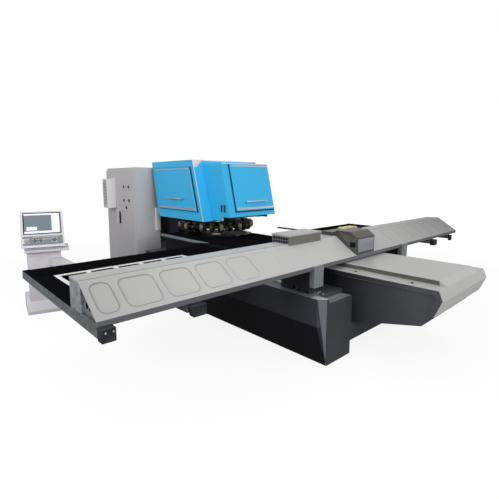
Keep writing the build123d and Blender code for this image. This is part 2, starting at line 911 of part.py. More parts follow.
# Table bars: an outer bar as high as the table, others that carry the boards
board_bottom = table_top - board_height
girder_front = slope_foot_y + sheet_run
end_bar_outline = (
    (slope_foot_y, end_bar_bottom),
    (board_rear, end_bar_bottom),
    (board_rear, table_top),
    (ridge_back, table_top),
    (ridge_back, girder_bottom),
    (girder_front, girder_bottom),
    (girder_front, bar_shoulder),
    (slope_foot_y, bar_shoulder),
)
bar_outline = (
    (slope_foot_y, bar_bottom),
    (board_rear, bar_bottom),
    (board_rear, board_bottom),
    (ridge_back, board_bottom),
    (ridge_back, girder_bottom),
    (girder_front, girder_bottom),
    (girder_front, bar_shoulder),
    (slope_foot_y, bar_shoulder),
)
inner_bar_outline = (
    (inner_bar_front, bar_bottom),
    (board_rear, bar_bottom),
    (board_rear, board_bottom),
    (ridge_back, board_bottom),
    (ridge_back, girder_bottom),
    (inner_bar_front, girder_bottom),
)
tongue_outline = (
    (board_front, board_bottom),
    (board_rear, board_bottom),
    (board_rear, table_top - tongue_height),
    (tongue_rear, table_top - tongue_height),
    (tongue_rear, table_top),
    (board_front, table_top),
)
right_inner_span = (right_inner_x - inner_bar_width / 2, right_inner_x + inner_bar_width / 2)
left_end_span = (beam_left, beam_left + end_bar_width)
right_end_span = (table_right - end_bar_width, table_right)
table_sides = (
    ("left", left_end_span, left_bar_x, left_mid_bar_x, left_inner_x),
    ("right", right_end_span, right_bar_x, right_mid_bar_x, right_inner_x),
)
for name, end_span, bar_x, mid_bar_x, inner_x in table_sides:
    with BuildPart() as table_bars:
        prism_x(end_bar_outline, end_span)
        prism_x(bar_outline, (bar_x - bar_width / 2, bar_x + bar_width / 2))
        for x in (mid_bar_x, inner_x):
            prism_x(inner_bar_outline, (x - inner_bar_width / 2, x + inner_bar_width / 2))
        rail_ends = (min(end_span[0], inner_x), max(end_span[0], inner_x))
        block(rail_ends, (board_rear - back_rail_width, board_rear), (bar_bottom, board_bottom))
        if name == "right":
            prism_x(tongue_outline, right_inner_span)
    keep(table_bars, f"table_bars_{name}")

for name, start, end in (
    ("left", left_end_span[1], left_board_inner),
    ("right", right_inner_span[1], right_end_span[0]),
):
    with BuildPart() as brush_table:
        block((start, end), (board_front, board_rear), (board_bottom, table_top))
        if name == "left":
            pocket = (table_top - grid_sheet, table_top)
            block((grid_left, grid_right), (grid_front, grid_rear), pocket, Mode.SUBTRACT)
    keep(brush_table, f"brush_table_{name}")

with BuildPart() as sheet_grid:
    block((grid_left, grid_right), (grid_front, grid_rear), (table_top - grid_sheet, table_top))
    column_pitch = (grid_right - grid_left - grid_rail) / grid_columns
    row_pitch = (grid_rear - grid_front - grid_rail) / grid_rows
    window_middle = ((grid_left + grid_right) / 2, (grid_front + grid_rear) / 2)
    with BuildSketch(Plane.XY.offset(table_top)):
        with Locations(window_middle):
            with GridLocations(column_pitch, row_pitch, grid_columns, grid_rows):
                Rectangle(column_pitch - grid_rail, row_pitch - grid_rail)
    extrude(amount=-grid_sheet, mode=Mode.SUBTRACT)
keep(sheet_grid, "sheet_grid")

with BuildPart() as bar_end_blocks:
    end_block_y = (slope_foot_y - end_block_depth, slope_foot_y)
    end_block_left = beam_left + end_block_inset
    end_block_x = (end_block_left, end_block_left + end_block_width)
    block(end_block_x, end_block_y, (end_block_bottom, end_block_top))
    for x in (left_bar_x, right_bar_x):
        bar_block_y = (slope_foot_y - bar_block_depth, slope_foot_y)
        block((x - bar_width / 2, x + bar_width / 2), bar_block_y, (bar_block_bottom, bar_shoulder))
    far_block_y = (slope_foot_y - far_block_depth, slope_foot_y)
    block(right_end_span, far_block_y, (far_block_bottom, bar_shoulder))
keep(bar_end_blocks, "bar_end_blocks")

# Boxes that sit on the beam and follow its fold


def slope_level(y):
    """Height of the beam's sloped face at a Y position."""
    return slope_foot_z + (y - slope_foot_y) * tan(slope_angle)


with BuildPart() as valve_box:
    valve_outline = (
        (valve_back, ridge_level),
        (ridge_front, ridge_level),
        (valve_front, slope_level(valve_front)),
        (valve_front, valve_top - valve_chamfer),
        (valve_front + valve_chamfer, valve_top),
        (valve_back - valve_chamfer, valve_top),
        (valve_back, valve_top - valve_chamfer),
    )
    prism_x(valve_outline, (valve_left, valve_right))
keep(valve_box, "valve_box")

with BuildPart() as drive_housing:
    drive_outline = (
        (drive_back, ridge_level),
        (ridge_front, ridge_level),
        (slope_foot_y, slope_foot_z),
        (slope_foot_y, drive_eave),
        (drive_roof_front, drive_roof),
        (drive_roof_back, drive_roof),
    )
    prism_x(drive_outline, (drive_left, drive_right))
    block((step_left, motor_left), (step_front, motor_back), (ridge_level, step_top))
keep(drive_housing, "drive_housing")

with BuildPart() as drive_motor:
    motor_outline = (
        (drive_back, ridge_level),
        (drive_back, motor_top - motor_chamfer),
        (drive_back + motor_chamfer, motor_top),
        (motor_back - motor_chamfer, motor_top),
        (motor_back, motor_top - motor_chamfer),
        (motor_back, ridge_level),
    )
    prism_x(motor_outline, (motor_left, motor_right))
keep(drive_motor, "drive_motor")

# Rails, carriage and clamps of the X slide
rail_levels = (x_rail_low, x_rail_high)
rail_face = ridge_back + x_rail_depth
with BuildPart() as x_rails:
    for level in rail_levels:
        rail_z = (level, level + x_rail_height)
        block((-x_rail_half_length, x_rail_half_length), (ridge_back, rail_face), rail_z)
keep(x_rails, "x_rails")

plate_front = rail_face + clearance
plate_back = plate_front + carriage_plate
clamp_seat = table_top + (sheet_line - table_top - clamp_base)
with BuildPart() as x_carriage:
    carriage_span = (-carriage_half_length, carriage_half_length)
    block(carriage_span, (plate_front, plate_back), (carriage_bottom, carriage_top))
    for level in rail_levels:
        lip_y = (ridge_back + clearance, plate_front)
        above = level + x_rail_height
        block(carriage_span, lip_y, (above, above + carriage_lip))
        block(carriage_span, lip_y, (level - clearance - carriage_lip, level - clearance))
    for x in (-clamp_x, clamp_x):
        half = clamp_width / 2
        block((x - half, x + half), (plate_front, plate_back + clamp_reach), (clamp_seat, sheet_line))
        cheek_y = (plate_front, plate_back + clamp_cheek_reach)
        for cheek in ((x - half, x - half + clamp_cheek), (x + half - clamp_cheek, x + half)):
            block(cheek, cheek_y, (sheet_line, clamp_top))
        rod_x(plate_back + pin_reach, pin_level, pin_radius, (x - half, x + half))
keep(x_carriage, "x_carriage")

for side, name in sides:
    with BuildPart() as jaw:
        x = side * clamp_x
        half = clamp_width / 2 - clamp_cheek - clearance
        pin_y = plate_back + pin_reach
        tail_y = plate_back + jaw_tail_gap
        tip_y = plate_back + jaw_tip
        bite = sheet_line + jaw_sheet_gap
        jaw_outline = (
            (tail_y, jaw_heel),
            (pin_y, jaw_heel),
            (tip_y - jaw_nose, bite),
            (tip_y, bite),
            (tip_y, bite + jaw_tip_height),
            (pin_y + jaw_nose, jaw_crown),
            (tail_y, jaw_crown),
        )
        prism_x(jaw_outline, (x - half, x + half))
        rod_x(pin_y, pin_level, pin_radius + running_fit, (x - half, x + half), Mode.SUBTRACT)
    keep(jaw, f"clamp_jaw_{name}")

# Cabinet: a sheet box with one door, a cooling unit and the drive modules inside
with BuildPart() as cabinet_body:
    block((cabinet_left, cabinet_right), (cabinet_front, cabinet_rear), (0, cabinet_height))
    hollow_y = (cabinet_front + cabinet_wall, cabinet_rear - cabinet_wall)
    hollow_z = (door_bottom, cabinet_height - cabinet_wall)
    hollow_x = (cabinet_left + cabinet_wall, cabinet_right - cabinet_wall)
    block(hollow_x, hollow_y, hollow_z, Mode.SUBTRACT)
    doorway_y = (door_front + door_lip, door_rear - door_lip)
    doorway_z = (door_bottom + door_lip, door_top - door_lip)
    block((cabinet_left - overrun, hollow_x[0]), doorway_y, doorway_z, Mode.SUBTRACT)
    panel_y = (door_rear + clearance, cabinet_rear)
    block((cabinet_left - cabinet_wall, cabinet_left), panel_y, (door_bottom, door_top))
keep(cabinet_body, "cabinet_body")

door_inside = cabinet_left - slide_gap
door_face = cabinet_left - cabinet_wall
with BuildPart() as cabinet_door:
    block((door_face, door_inside), (door_front, door_rear), (door_bottom, door_top))
keep(cabinet_door, "cabinet_door")

with BuildPart() as fan_unit:
    fan_x = (door_face - fan_depth, door_face)
    block(fan_x, (fan_front, fan_rear), (fan_bottom, fan_top))
keep(fan_unit, "fan_unit")

with BuildPart() as door_lamps:
    for y, z in lamp_places:
        rod_x(y, z, lamp_radius, (door_face - lamp_depth, door_face))
keep(door_lamps, "door_lamps")

with BuildPart() as door_handle:
    boss_end = door_face - slide_gap - handle_boss
    rod_x(handle_y, handle_pivot_z, handle_boss_radius, (boss_end, door_face - slide_gap))
    lever_y = (handle_y - handle_width / 2, handle_y + handle_width / 2)
    lever_z = (handle_pivot_z - handle_length, handle_pivot_z + handle_width)
    block((boss_end - handle_sheet, boss_end), lever_y, lever_z)
keep(door_handle, "door_handle")

with BuildPart() as drive_modules:
    plate_x = (hollow_x[1] - plate_sheet, hollow_x[1])
    module_x = (plate_x[0] - module_depth, plate_x[0])
    plate_y = (hollow_y[0] + plate_margin, hollow_y[1] - plate_margin)
    plate_z = (door_bottom + plate_margin, cabinet_height - cabinet_wall - plate_margin)
    block(plate_x, plate_y, plate_z)
    module_pitch = (plate_y[1] - plate_y[0]) / module_count
    for index in range(module_count):
        start = plate_y[0] + index * module_pitch
        module_y = (start + plate_margin / 2, start + module_pitch - plate_margin / 2)
        block(module_x, module_y, (module_bottom, module_bottom + module_height))
keep(drive_modules, "drive_modules")

# Console: foot, pedestal, shelf and a head that leans back, turned toward the operator
turn = radians(console_turn)
console = Plane(origin=(console_x, console_y, 0), x_dir=(cos(turn), sin(turn), 0), z_dir=(0, 0, 1))
shelf_top = shelf_bottom + shelf_height

foot_slope = (foot_rear_height - foot_front_height) / (foot_half_depth + foot_half_depth)


def foot_line(y):
    """Height of the console foot's sloped top."""
    return foot_front_height + foot_slope * (y + foot_half_depth)


with BuildPart() as console_foot:
    foot_outline = (
        (-foot_half_depth, 0),
        (foot_half_depth, 0),
        (foot_half_depth, foot_rear_height),
        (-foot_half_depth, foot_front_height),
    )
    prism_x(foot_outline, (-foot_half_width, foot_half_width), console)
keep(console_foot, "console_foot")

with BuildPart() as console_pedestal:
    pedestal_outline = (
        (pedestal_front, foot_line(pedestal_front)),
        (pedestal_rear, foot_line(pedestal_rear)),
        (pedestal_rear, shelf_bottom),
        (pedestal_front, shelf_bottom),
    )
    prism_x(pedestal_outline, (-pedestal_half_width, pedestal_half_width), console)
keep(console_pedestal, "console_pedestal")

with BuildPart(console) as console_shelf:
    block((shelf_left, shelf_right), (shelf_front, shelf_rear), (shelf_bottom, shelf_top))
keep(console_shelf, "console_shelf")

head_rise = head_top - head_bottom
head_tilt = atan2(head_front_high - head_front_low, head_rise)
head_length = head_rise / cos(head_tilt)
head_face = Plane(
    origin=console.from_local_coords(Vector(0, head_front_low, head_bottom)),
    x_dir=console.x_dir,
    z_dir=-console.y_dir * cos(head_tilt) + console.z_dir * sin(head_tilt),
)
screen_middle = head_length - screen_drop - screen_height / 2
button_kinds = (
    ("stop_button", stop_radius),
    ("start_button", button_radius),
    ("hold_button", button_radius),
    ("override_knob", knob_radius),
)
with BuildPart() as console_head:
    head_outline = (
        (head_front_low, head_bottom),
        (head_front_low + head_depth, head_bottom),
        (head_front_high + head_depth, head_top),
        (head_front_high, head_top),
    )
    prism_x(head_outline, (-head_half_width, head_half_width), console)
    inside_head = head_front_low + head_depth / 2 + (neck_top - head_bottom) * tan(head_tilt)
    neck_outline = (
        (neck_front, shelf_top),
        (neck_rear, shelf_top),
        (neck_rear, neck_top),
        (inside_head, neck_top),
    )
    prism_x(neck_outline, (-neck_half_width, neck_half_width), console)
    with BuildSketch(head_face):
        with Locations((0, screen_middle)):
            Rectangle(screen_width, screen_height)
    extrude(amount=-screen_sheet, mode=Mode.SUBTRACT)
    for x, (label, radius) in zip(button_places, button_kinds):
        with BuildSketch(head_face):
            with Locations((x, button_row)):
                Circle(radius + slide_gap)
        extrude(amount=-button_depth - button_room, mode=Mode.SUBTRACT)
keep(console_head, "console_head")

with BuildPart() as console_screen:
    with BuildSketch(head_face):
        with Locations((0, screen_middle)):
            Rectangle(screen_width, screen_height)
    extrude(amount=-screen_sheet)
keep(console_screen, "console_screen")

for x, (label, radius) in zip(button_places, button_kinds):
    with BuildPart() as button:
        with BuildSketch(head_face.offset(-button_depth)):
            with Locations((x, button_row)):
                Circle(radius)
        extrude(amount=button_depth + button_proud)
    keep(button, label)

# Cable duct from the pedestal under the table to the bed
with BuildPart() as duct:
    duct_span = (duct_bottom, duct_bottom + duct_height)
    half = duct_width / 2
    pedestal_face = console.from_local_coords(Vector(duct_x - console_x, pedestal_front, 0))
    duct_start = pedestal_face.Y + overrun
    block((duct_x - half, duct_x + half), (duct_turn_y - half, duct_start), duct_span)
    block((duct_x + half, -bed_half_width), (duct_turn_y - half, duct_turn_y + half), duct_span)
    front_cut = (
        (pedestal_front, 0),
        (pedestal_front, shelf_bottom),
        (pedestal_rear, shelf_bottom),
        (pedestal_rear, 0),
    )
    prism_x(front_cut, (-foot_half_width, foot_half_width), console, Mode.SUBTRACT)
keep(duct, "cable_duct")
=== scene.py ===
import json
import math

import bpy
from bpy.types import Operator, Panel, PropertyGroup
from mathutils import Matrix, Vector


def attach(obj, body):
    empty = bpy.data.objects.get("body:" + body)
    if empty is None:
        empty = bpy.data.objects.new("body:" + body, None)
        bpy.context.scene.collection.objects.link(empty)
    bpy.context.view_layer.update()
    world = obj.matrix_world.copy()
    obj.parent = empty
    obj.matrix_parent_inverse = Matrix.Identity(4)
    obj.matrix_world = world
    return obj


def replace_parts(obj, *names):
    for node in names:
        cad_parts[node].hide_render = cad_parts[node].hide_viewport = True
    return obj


bl_info = {
    "name": "Turret Punch Press",
    "version": (1, 0, 0),
    "blender": (4, 5, 0),
    "location": "View3D > Sidebar > Press",
    "description": "Dresses a turret punch press with its finishes, fittings, tools and studio",
    "category": "Object",
}

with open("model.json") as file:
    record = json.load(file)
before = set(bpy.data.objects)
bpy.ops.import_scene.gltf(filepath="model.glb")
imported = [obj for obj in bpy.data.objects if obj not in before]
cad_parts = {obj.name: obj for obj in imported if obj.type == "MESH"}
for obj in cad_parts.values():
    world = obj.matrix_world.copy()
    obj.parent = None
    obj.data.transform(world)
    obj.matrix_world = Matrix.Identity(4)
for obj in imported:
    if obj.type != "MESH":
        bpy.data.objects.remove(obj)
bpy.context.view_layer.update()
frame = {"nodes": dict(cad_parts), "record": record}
nodes = frame["nodes"]

LEFT, RIGHT = (-1, 0, 0), (1, 0, 0)
FRONT, BACK = (0, -1, 0), (0, 1, 0)
DOWN, UP = (0, 0, -1), (0, 0, 1)
SIDES = ((-1, "left"), (1, "right"))

# Cosine above which a face looks along a direction
FACING = 0.9

# Leaning walls of the hood: Y at the foot, height of the foot, run per metre of rise
HOOD_FRONT = (0.036, 1.143, 0.2792)
HOOD_BACK = (1.295, 1.143, 0.2169)
HOOD_FACE = (-0.355, 1.219, 0.24643)

# Turret: Y of its axis, degrees between stations, sectors, and the tools' sizes in one sector
TURRET_Y = 0.554
STATION_ANGLE = 15
SECTORS = 6
TOOL_RADIUS = 0.050
TOOL_SHARES = (1.0, 0.7, 0.84, 0.6)


def linear(code):
    """Turn an sRGB hex colour into linear RGBA."""
    values = [int(code[start:start + 2], 16) / 255 for start in (1, 3, 5)]
    return [v / 12.92 if v <= 0.04045 else ((v + 0.055) / 1.055) ** 2.4 for v in values] + [1.0]


def paint(name, code, description):
    """A colour property with its default as an sRGB hex value."""
    ranges = {"subtype": "COLOR", "size": 4, "min": 0, "max": 1, "default": linear(code)}
    return bpy.props.FloatVectorProperty(name=name, description=description, **ranges)


def length(name, metres, description):
    """A length property in metres."""
    ranges = {"subtype": "DISTANCE", "unit": "LENGTH", "min": 0, "default": metres}
    return bpy.props.FloatProperty(name=name, description=description, **ranges)


class PressFinishes(PropertyGroup):
    """Colours of the press."""

    hood: paint("Hood", "#34B0E3", "Gloss enamel of the hood and its hatches")
    base: paint("Base", "#292A2F", "Textured powder coat of the frame and blocks")
    bed: paint("Bed", "#404146", "Textured powder coat of the bed")
    housing: paint("Front housing", "#4A4B50", "Textured powder coat of the front housing")
    corner: paint("Bed corners", "#6C6E79", "Powder coat of the bed's front corners, lighter as painted highlight")
    cover: paint("Covers", "#A8A8A7", "Satin paint of the beam and front covers")
    fascia: paint("Fascia", "#626267", "Satin paint of the strip under the sloped covers")
    girder: paint("Girder", "#2C2D33", "Satin paint of the girder")
    post: paint("Posts", "#7C8081", "Satin paint of the hooked post covers")
    box: paint("Beam boxes", "#6A6864", "Satin paint of the boxes on the beam")
    drive: paint("Drive housing", "#423F3B", "Satin paint of the drive housing")
    lid: paint("Box lids", "#A3A19B", "Satin paint of the box lids on the beam")
    fan: paint("Cooling unit", "#D2CFD1", "Fine textured paint of the cooling unit")
    cabinet: paint("Cabinet", "#B5B3B6", "Fine textured paint of the control cabinet")
    console: paint("Console", "#C6C4CA", "Fine textured paint of the console")
    bristle: paint("Bristles", "#111113", "Nylon of the brush tables")
    sheet: paint("Light sheet", "#DADADA", "Light sheet of the ladder rail and the table strip")
    # Painted highlight on the hood's lit edges.
    edging: paint("Hood highlights", "#D8D0CF", "Pale strips of painted highlight on the hood's edges")
    motor: paint("Motor", "#CFC38A", "Cream paint of the drive motor")


class PressSizes(PropertyGroup):
    """Sizes of the press's small features."""

    edge: length("Edge radius", 0.004, "Radius of the folded and ground edges")
    bead: length("Panel bead", 0.007, "Width of the bead round each pressed panel")
    bolt: length("Bolt head", 0.010, "Radius of the socket heads")
    tuft: length("Tuft spacing", 0.040, "Distance between the tufts of the brush tables")


def add_node(tree, kind, inputs=None, **settings):
    """Add a node with its settings, and set or link its inputs."""
    made = tree.nodes.new(kind)
    for key, value in settings.items():
        setattr(made, key, value)
    for key, value in (inputs or {}).items():
        if isinstance(value, bpy.types.NodeSocket):
            tree.links.new(value, made.inputs[key])
        else:
            made.inputs[key].default_value = value
    return made


def start(name, roughness, shine=0.5, metallic=0.0, ior=1.5):
    """A new material: its tree, its shader and the coordinates of the object in metres."""
    material = bpy.data.materials.new(name)
    material.use_nodes = True
    tree = material.node_tree
    shader = tree.nodes["Principled BSDF"]
    sockets = {"Roughness": roughness, "Specular IOR Level": shine}
    sockets |= {"Metallic": metallic, "IOR": ior}
    for key, value in sockets.items():
        shader.inputs[key].default_value = value
    place = add_node(tree, "ShaderNodeTexCoord").outputs["Object"]
    return material, tree, shader, place


def per_mm(size):
    """Texture scale at which one feature is this many millimetres wide."""
    return 1000 / size


def noise(tree, place, size, detail=2.0):
    """A cloudy pattern with features of this many millimetres."""
    inputs = {"Vector": place, "Scale": per_mm(size), "Detail": detail}
    return add_node(tree, "ShaderNodeTexNoise", inputs).outputs["Fac"]


def remap(tree, value, low, high, to_low=0.0, to_high=1.0):
    """A value stretched from one range to another and held at its ends."""
    inputs = {"Value": value, "From Min": low, "From Max": high}
    inputs |= {"To Min": to_low, "To Max": to_high}
    return add_node(tree, "ShaderNodeMapRange", inputs).outputs["Result"]


def calc(tree, operation, first, second=0.0):
    """The result of one step of arithmetic."""
    return add_node(tree, "ShaderNodeMath", {0: first, 1: second}, operation=operation).outputs[0]


def blend(tree, factor, first, second):
    """A value between two others."""
    return add_node(tree, "ShaderNodeMix", {"Factor": factor, 2: first, 3: second}).outputs[0]


def along(tree, vector, axis):
    """One coordinate of a vector."""
    return add_node(tree, "ShaderNodeSeparateXYZ", {"Vector": vector}).outputs[axis]


def tint(tree, shader, colour, factor, low, high):
    """Shade a colour between two brightness shares by a factor."""
    dark = [c * low for c in colour[:3]] + [1]
    light = [min(c * high, 1) for c in colour[:3]] + [1]
    mix = add_node(tree, "ShaderNodeMix", {"Factor": factor, 6: dark, 7: light}, data_type="RGBA")
    tree.links.new(mix.outputs[2], shader.inputs["Base Color"])


def bump(tree, shader, height, strength, depth):
    """Raise the surface by a height pattern of this depth in metres."""
    inputs = {"Height": height, "Strength": strength, "Distance": depth}
    made = add_node(tree, "ShaderNodeBump", inputs)
    tree.links.new(made.outputs["Normal"], shader.inputs["Normal"])


def roughen(tree, shader, pattern, low, high):
    """Vary the roughness between two values by a pattern."""
    tree.links.new(remap(tree, pattern, 0, 1, low, high), shader.inputs["Roughness"])


def enamel(name, colour, roughness, peel, grime, shine=0.4, painted_falloff=None):
    """Sprayed paint on sheet steel: an even colour, a faint orange peel and a little grime.

    With a painted falloff the coat is painted darker or lighter towards one end, as painted shade
    or painted light: its axis, the shaded and the lit place, and both shares.
    """
    material, tree, shader, place = start(name, roughness, shine)
    cloud = noise(tree, place, 420, detail=4.0)
    skin = noise(tree, place, peel)
    share = blend(tree, 0.4, cloud, skin)
    low, high = 1 - grime, 1 + grime / 2
    if painted_falloff:
        axis, shaded_at, lit_at, low, high = painted_falloff
        # Painted light and shade: the share runs along the axis from the shaded to the lit place.
        lit_share = remap(tree, along(tree, place, axis), shaded_at, lit_at)
        share = blend(tree, grime, lit_share, share)
    tint(tree, shader, colour, share, low, high)
    bump(tree, shader, skin, strength=0.25, depth=0.0006)
    roughen(tree, shader, cloud, roughness - 0.07, roughness + 0.09)
    return material


def shaded_coat(name, colour, axis, dark_at, light_at, sides_only):
    """Textured powder coat with painted shade: darker along one axis, full colour past a line."""
    material, tree, shader, place = start(name, roughness=0.5, shine=0.2)
    # Painted shade along the axis: dark before one line, full colour past the other.
    lit_share = remap(tree, along(tree, place, axis), dark_at, light_at)
    if sides_only:
        # Painted shade on the sides only: faces that look along X darken, fronts and tops keep full
        # colour.
        normal = tree.nodes["Texture Coordinate"].outputs["Normal"]
        front = calc(tree, "SUBTRACT", 1.0, calc(tree, "ABSOLUTE", along(tree, normal, "X")))
        # Painted shadow of the beam: the sides darken further towards the back.
        fade = remap(tree, along(tree, place, "Y"), -1.2, -2.35, to_low=0.35)
        lit_share = calc(tree, "MAXIMUM", calc(tree, "MULTIPLY", lit_share, fade), front)
    patchy = remap(tree, noise(tree, place, 300, detail=5.0), 0, 1, to_low=0.6)
    tint(tree, shader, colour, calc(tree, "MULTIPLY", lit_share, patchy), low=0.2, high=1.25)
    bump(tree, shader, noise(tree, place, 8), strength=0.25, depth=0.0006)
    return material


def metal(name, colour, roughness, grain, spread):
    """Ground or rolled steel: fine streaks along the work, with a patchy sheen."""
    material, tree, shader, place = start(name, roughness, metallic=1.0)
    stretched = add_node(tree, "ShaderNodeMapping", {"Vector": place, "Scale": (1, 12, 12)})
    streak = noise(tree, stretched.outputs["Vector"], grain, detail=3.0)
    tint(tree, shader, colour, streak, 1 - spread, 1 + spread)
    roughen(tree, shader, streak, roughness - 0.1, roughness + 0.12)
    return material


def galvanised(name, colour):
    """Hot-dip zinc: flat crystals about as wide as a thumb, each with its own sheen."""
    material, tree, shader, place = start(name, roughness=0.5, metallic=0.7)
    crystal = add_node(tree, "ShaderNodeTexVoronoi", {"Vector": place, "Scale": per_mm(28)})
    shade = add_node(tree, "ShaderNodeRGBToBW", {"Color": crystal.outputs["Color"]})
    tint(tree, shader, colour, shade.outputs["Val"], low=0.6, high=1.25)
    return material


def bristles(name, colour):
    """Packed nylon tufts: black rows about 25 mm apart, lighter at the tips, with painted shade in
    the deep gaps.
    """
    material, tree, shader, place = start(name, roughness=0.8, shine=0.0)
    inputs = {"Vector": place, "Scale": per_mm(25), "Randomness": 0.35}
    away = add_node(tree, "ShaderNodeTexVoronoi", inputs).outputs["Distance"]
    # Painted shade: lighter at each tuft's middle, darker in the gaps between.
    tint(tree, shader, colour, away, low=1.5, high=0.5)
    bump(tree, shader, away, strength=0.8, depth=-0.01)
    return material


def plastic(name, colour, roughness, shine=0.4):
    """Moulded plastic with a fine spark-eroded grain."""
    material, tree, shader, place = start(name, roughness, shine, ior=1.46)
    grain = noise(tree, place, 4)
    tint(tree, shader, colour, grain, low=0.9, high=1.1)
    bump(tree, shader, grain, strength=0.2, depth=0.0003)
    return material


finishes = {}


def make_finishes(colours):
    """All finishes, most of them under the record's slot names."""
    # Painted shade: the right slope gets a darker grey, and both slopes darken towards their outer
    # ends.
    cover, shaded_cover = colours.cover, linear("#9F9F9E")
    shaded_left_end = ("X", -3.05, -2.15, 0.8, 1.12)
    shaded_right_end = ("X", 2.9, 0.6, 0.36, 1.03)
    # Painted shade of the panel grooves: the beads are darker, most at the left end.
    shaded_bead_end = ("X", -2.95, -1.9, 0.58, 1.04)
    # Painted light: the nose's lower facet is lighter below this height, as if lit from the floor.
    lit_foot = ("Z", 0.754, 0.742, 1.0, 1.6)
    finishes.update(
        hood_blue=enamel("Gloss blue enamel on sheet steel", colours.hood, 0.35, 30, 0.06, 0.3),
        charcoal_paint=enamel("Charcoal textured powder coat", colours.base, 0.5, 8, 0.2, 0.2),
        # Bed: painted shade on its sides below a line and under the beam.
        bed_coat=shaded_coat(
            "Charcoal powder coat, painted shade low and under the beam", colours.bed, "Z", 0.375, 0.395, True
        ),
        # Front housing: painted shadow, darker towards the beam.
        housing_coat=shaded_coat(
            "Charcoal powder coat, painted shadow towards the beam", colours.housing, "Y", -2.35, -3.0, False
        ),
        # Painted highlight: the lit corner facets of the bed are painted lighter.
        corner_grey=enamel("Grey powder coat, painted highlight", colours.corner, 0.5, 8, 0.2, 0.2),
        cover_grey=enamel("Satin grey enamel on folded sheet", cover, 0.42, 25, 0.08),
        slope_coat=enamel(
            "Satin grey enamel, painted shade at the left end", cover, 0.42, 25, 0.1, painted_falloff=shaded_left_end
        ),
        nose_coat=enamel("Satin grey enamel, painted light below", cover, 0.42, 25, 0.08, painted_falloff=lit_foot),
        slope_shade=enamel("Satin grey enamel, painted shade to the right end", shaded_cover, 0.42, 25, 0.08, painted_falloff=shaded_right_end),
        bead_grey=enamel("Satin grey enamel, painted groove shade", cover, 0.5, 25, 0.1, 0.2, shaded_bead_end),
        post_grey=enamel("Satin mid grey enamel on folded sheet", colours.post, 0.42, 25, 0.1),
        girder_grey=enamel("Satin dark enamel on the girder", colours.girder, 0.5, 25, 0.1, 0.15),
        fascia_grey=enamel(
            "Satin dark enamel on folded sheet", colours.fascia, 0.45, 25, 0.08, 0.2
        ),
        box_grey=enamel("Satin warm grey enamel", colours.box, 0.45, 20, 0.1),
        # Dull dark grey; on the deck's sides it is painted shade.
        skirt_grey=enamel("Dull dark enamel, also painted side shade", linear("#5B5B57"), 0.6, 20, 0.2, 0.15),
        drive_grey=enamel("Satin dark warm enamel", colours.drive, 0.45, 20, 0.1),
        door_sheet=enamel("Bright rolled sheet", linear("#868A90"), 0.3, 40, 0.2),
        lid_grey=enamel("Satin light warm enamel", colours.lid, 0.42, 20, 0.08),
        galvanised=galvanised("Hot-dip galvanised sheet", linear("#A3A7AB")),
        weathered_zinc=galvanised("Hot-dip galvanised bar, dull", linear("#787D80")),
        brush_black=bristles("Black nylon bristles", colours.bristle),
        light_sheet=enamel("Light grey enamel on sheet", colours.sheet, 0.4, 25, 0.06),
        hood_edging=enamel("Pale gloss enamel, painted highlight", colours.edging, 0.35, 25, 0.05),
        hatch_edge=enamel("Light blue painted highlight on an edge", linear("#78C4EA"), 0.35, 25, 0.05),
        fan_grey=enamel("Fine textured white powder coat", colours.fan, 0.5, 6, 0.05),
        cabinet_grey=enamel("Fine textured grey powder coat", colours.cabinet, 0.5, 6, 0.05),
        console_grey=enamel("Fine textured pale powder coat", colours.console, 0.48, 6, 0.04),
        turret_iron=enamel("Black phosphate coat on iron", linear("#141416"), 0.6, 6, 0.3, 0.12),
        motor_cast=enamel("Cream enamel on cast aluminium", colours.motor, 0.45, 10, 0.1),
    )
    for slot, name, code, *values in (
        ("hatch_seal", "Dark blue rubber seal", "#0F3E60", 0.6, 0.2),
        ("screen", "Display glass over a lit panel", "#6C757C", 0.25),
        ("screen_light", "Lit white fields of the display", "#E4EAF0", 0.25),
        ("panel_grey", "Grey membrane panel", "#73767D", 0.5),
        ("key_grey", "Dark grey polyamide", "#55585C", 0.5),
        ("key_light", "Light grey membrane keys", "#A4A6AC", 0.5),
        ("knob_grey", "Mid grey polyamide", "#62656B", 0.5),
        ("light_bush", "Cream nylon bush", "#6E6657", 0.5),
        ("button_red", "Faded warm grey polyamide", "#948F88", 0.4),
        ("button_green", "Grey green polyamide", "#63706A", 0.4),
        ("button_yellow", "Pale cream polyamide", "#A9A797", 0.4),
        ("black_plastic", "Black polyamide", "#0E0E10", 0.5, 0.12),
        ("lamp_lens", "Smoked polycarbonate lens", "#4E4E50", 0.2),
    ):
        finishes[slot] = plastic(name, linear(code), *values)
    for slot, name, code, *values in (
        ("bright_trim", "Satin anodised aluminium", "#B4BAC6", 0.45, 3, 0.06),
        ("ground_steel", "Ground steel", "#B9BBBE", 0.32, 2, 0.08),
        ("tool_steel", "Blackened tool steel", "#3A3733", 0.35, 3, 0.2),
        ("dull_steel", "Dull turned steel", "#6F6B67", 0.55, 2, 0.15),
        ("tool_gold", "Bronzed tool collar", "#4E3D2E", 0.45, 2, 0.15),
    ):
        finishes[slot] = metal(name, linear(code), *values)


own_finishes = {
    "bed": "bed_coat",
    "front_housing": "housing_coat",
    "drive_housing": "drive_grey",
    "fan_unit": "fan_grey",
    "post_left": "post_grey",
    "post_right": "post_grey",
    "end_plate_left": "galvanised",
    "end_plate_right": "galvanised",
    "table_bars_left": "weathered_zinc",
    "table_bars_right": "weathered_zinc",
    "centre_table": "turret_iron",
    "front_cover": "nose_coat",
    "slope_cover_left": "slope_coat",
    "slope_cover_right": "slope_shade",
    "hold_button": "knob_grey",
    "override_knob": "knob_grey",
    "door_handle": "cabinet_grey",
}


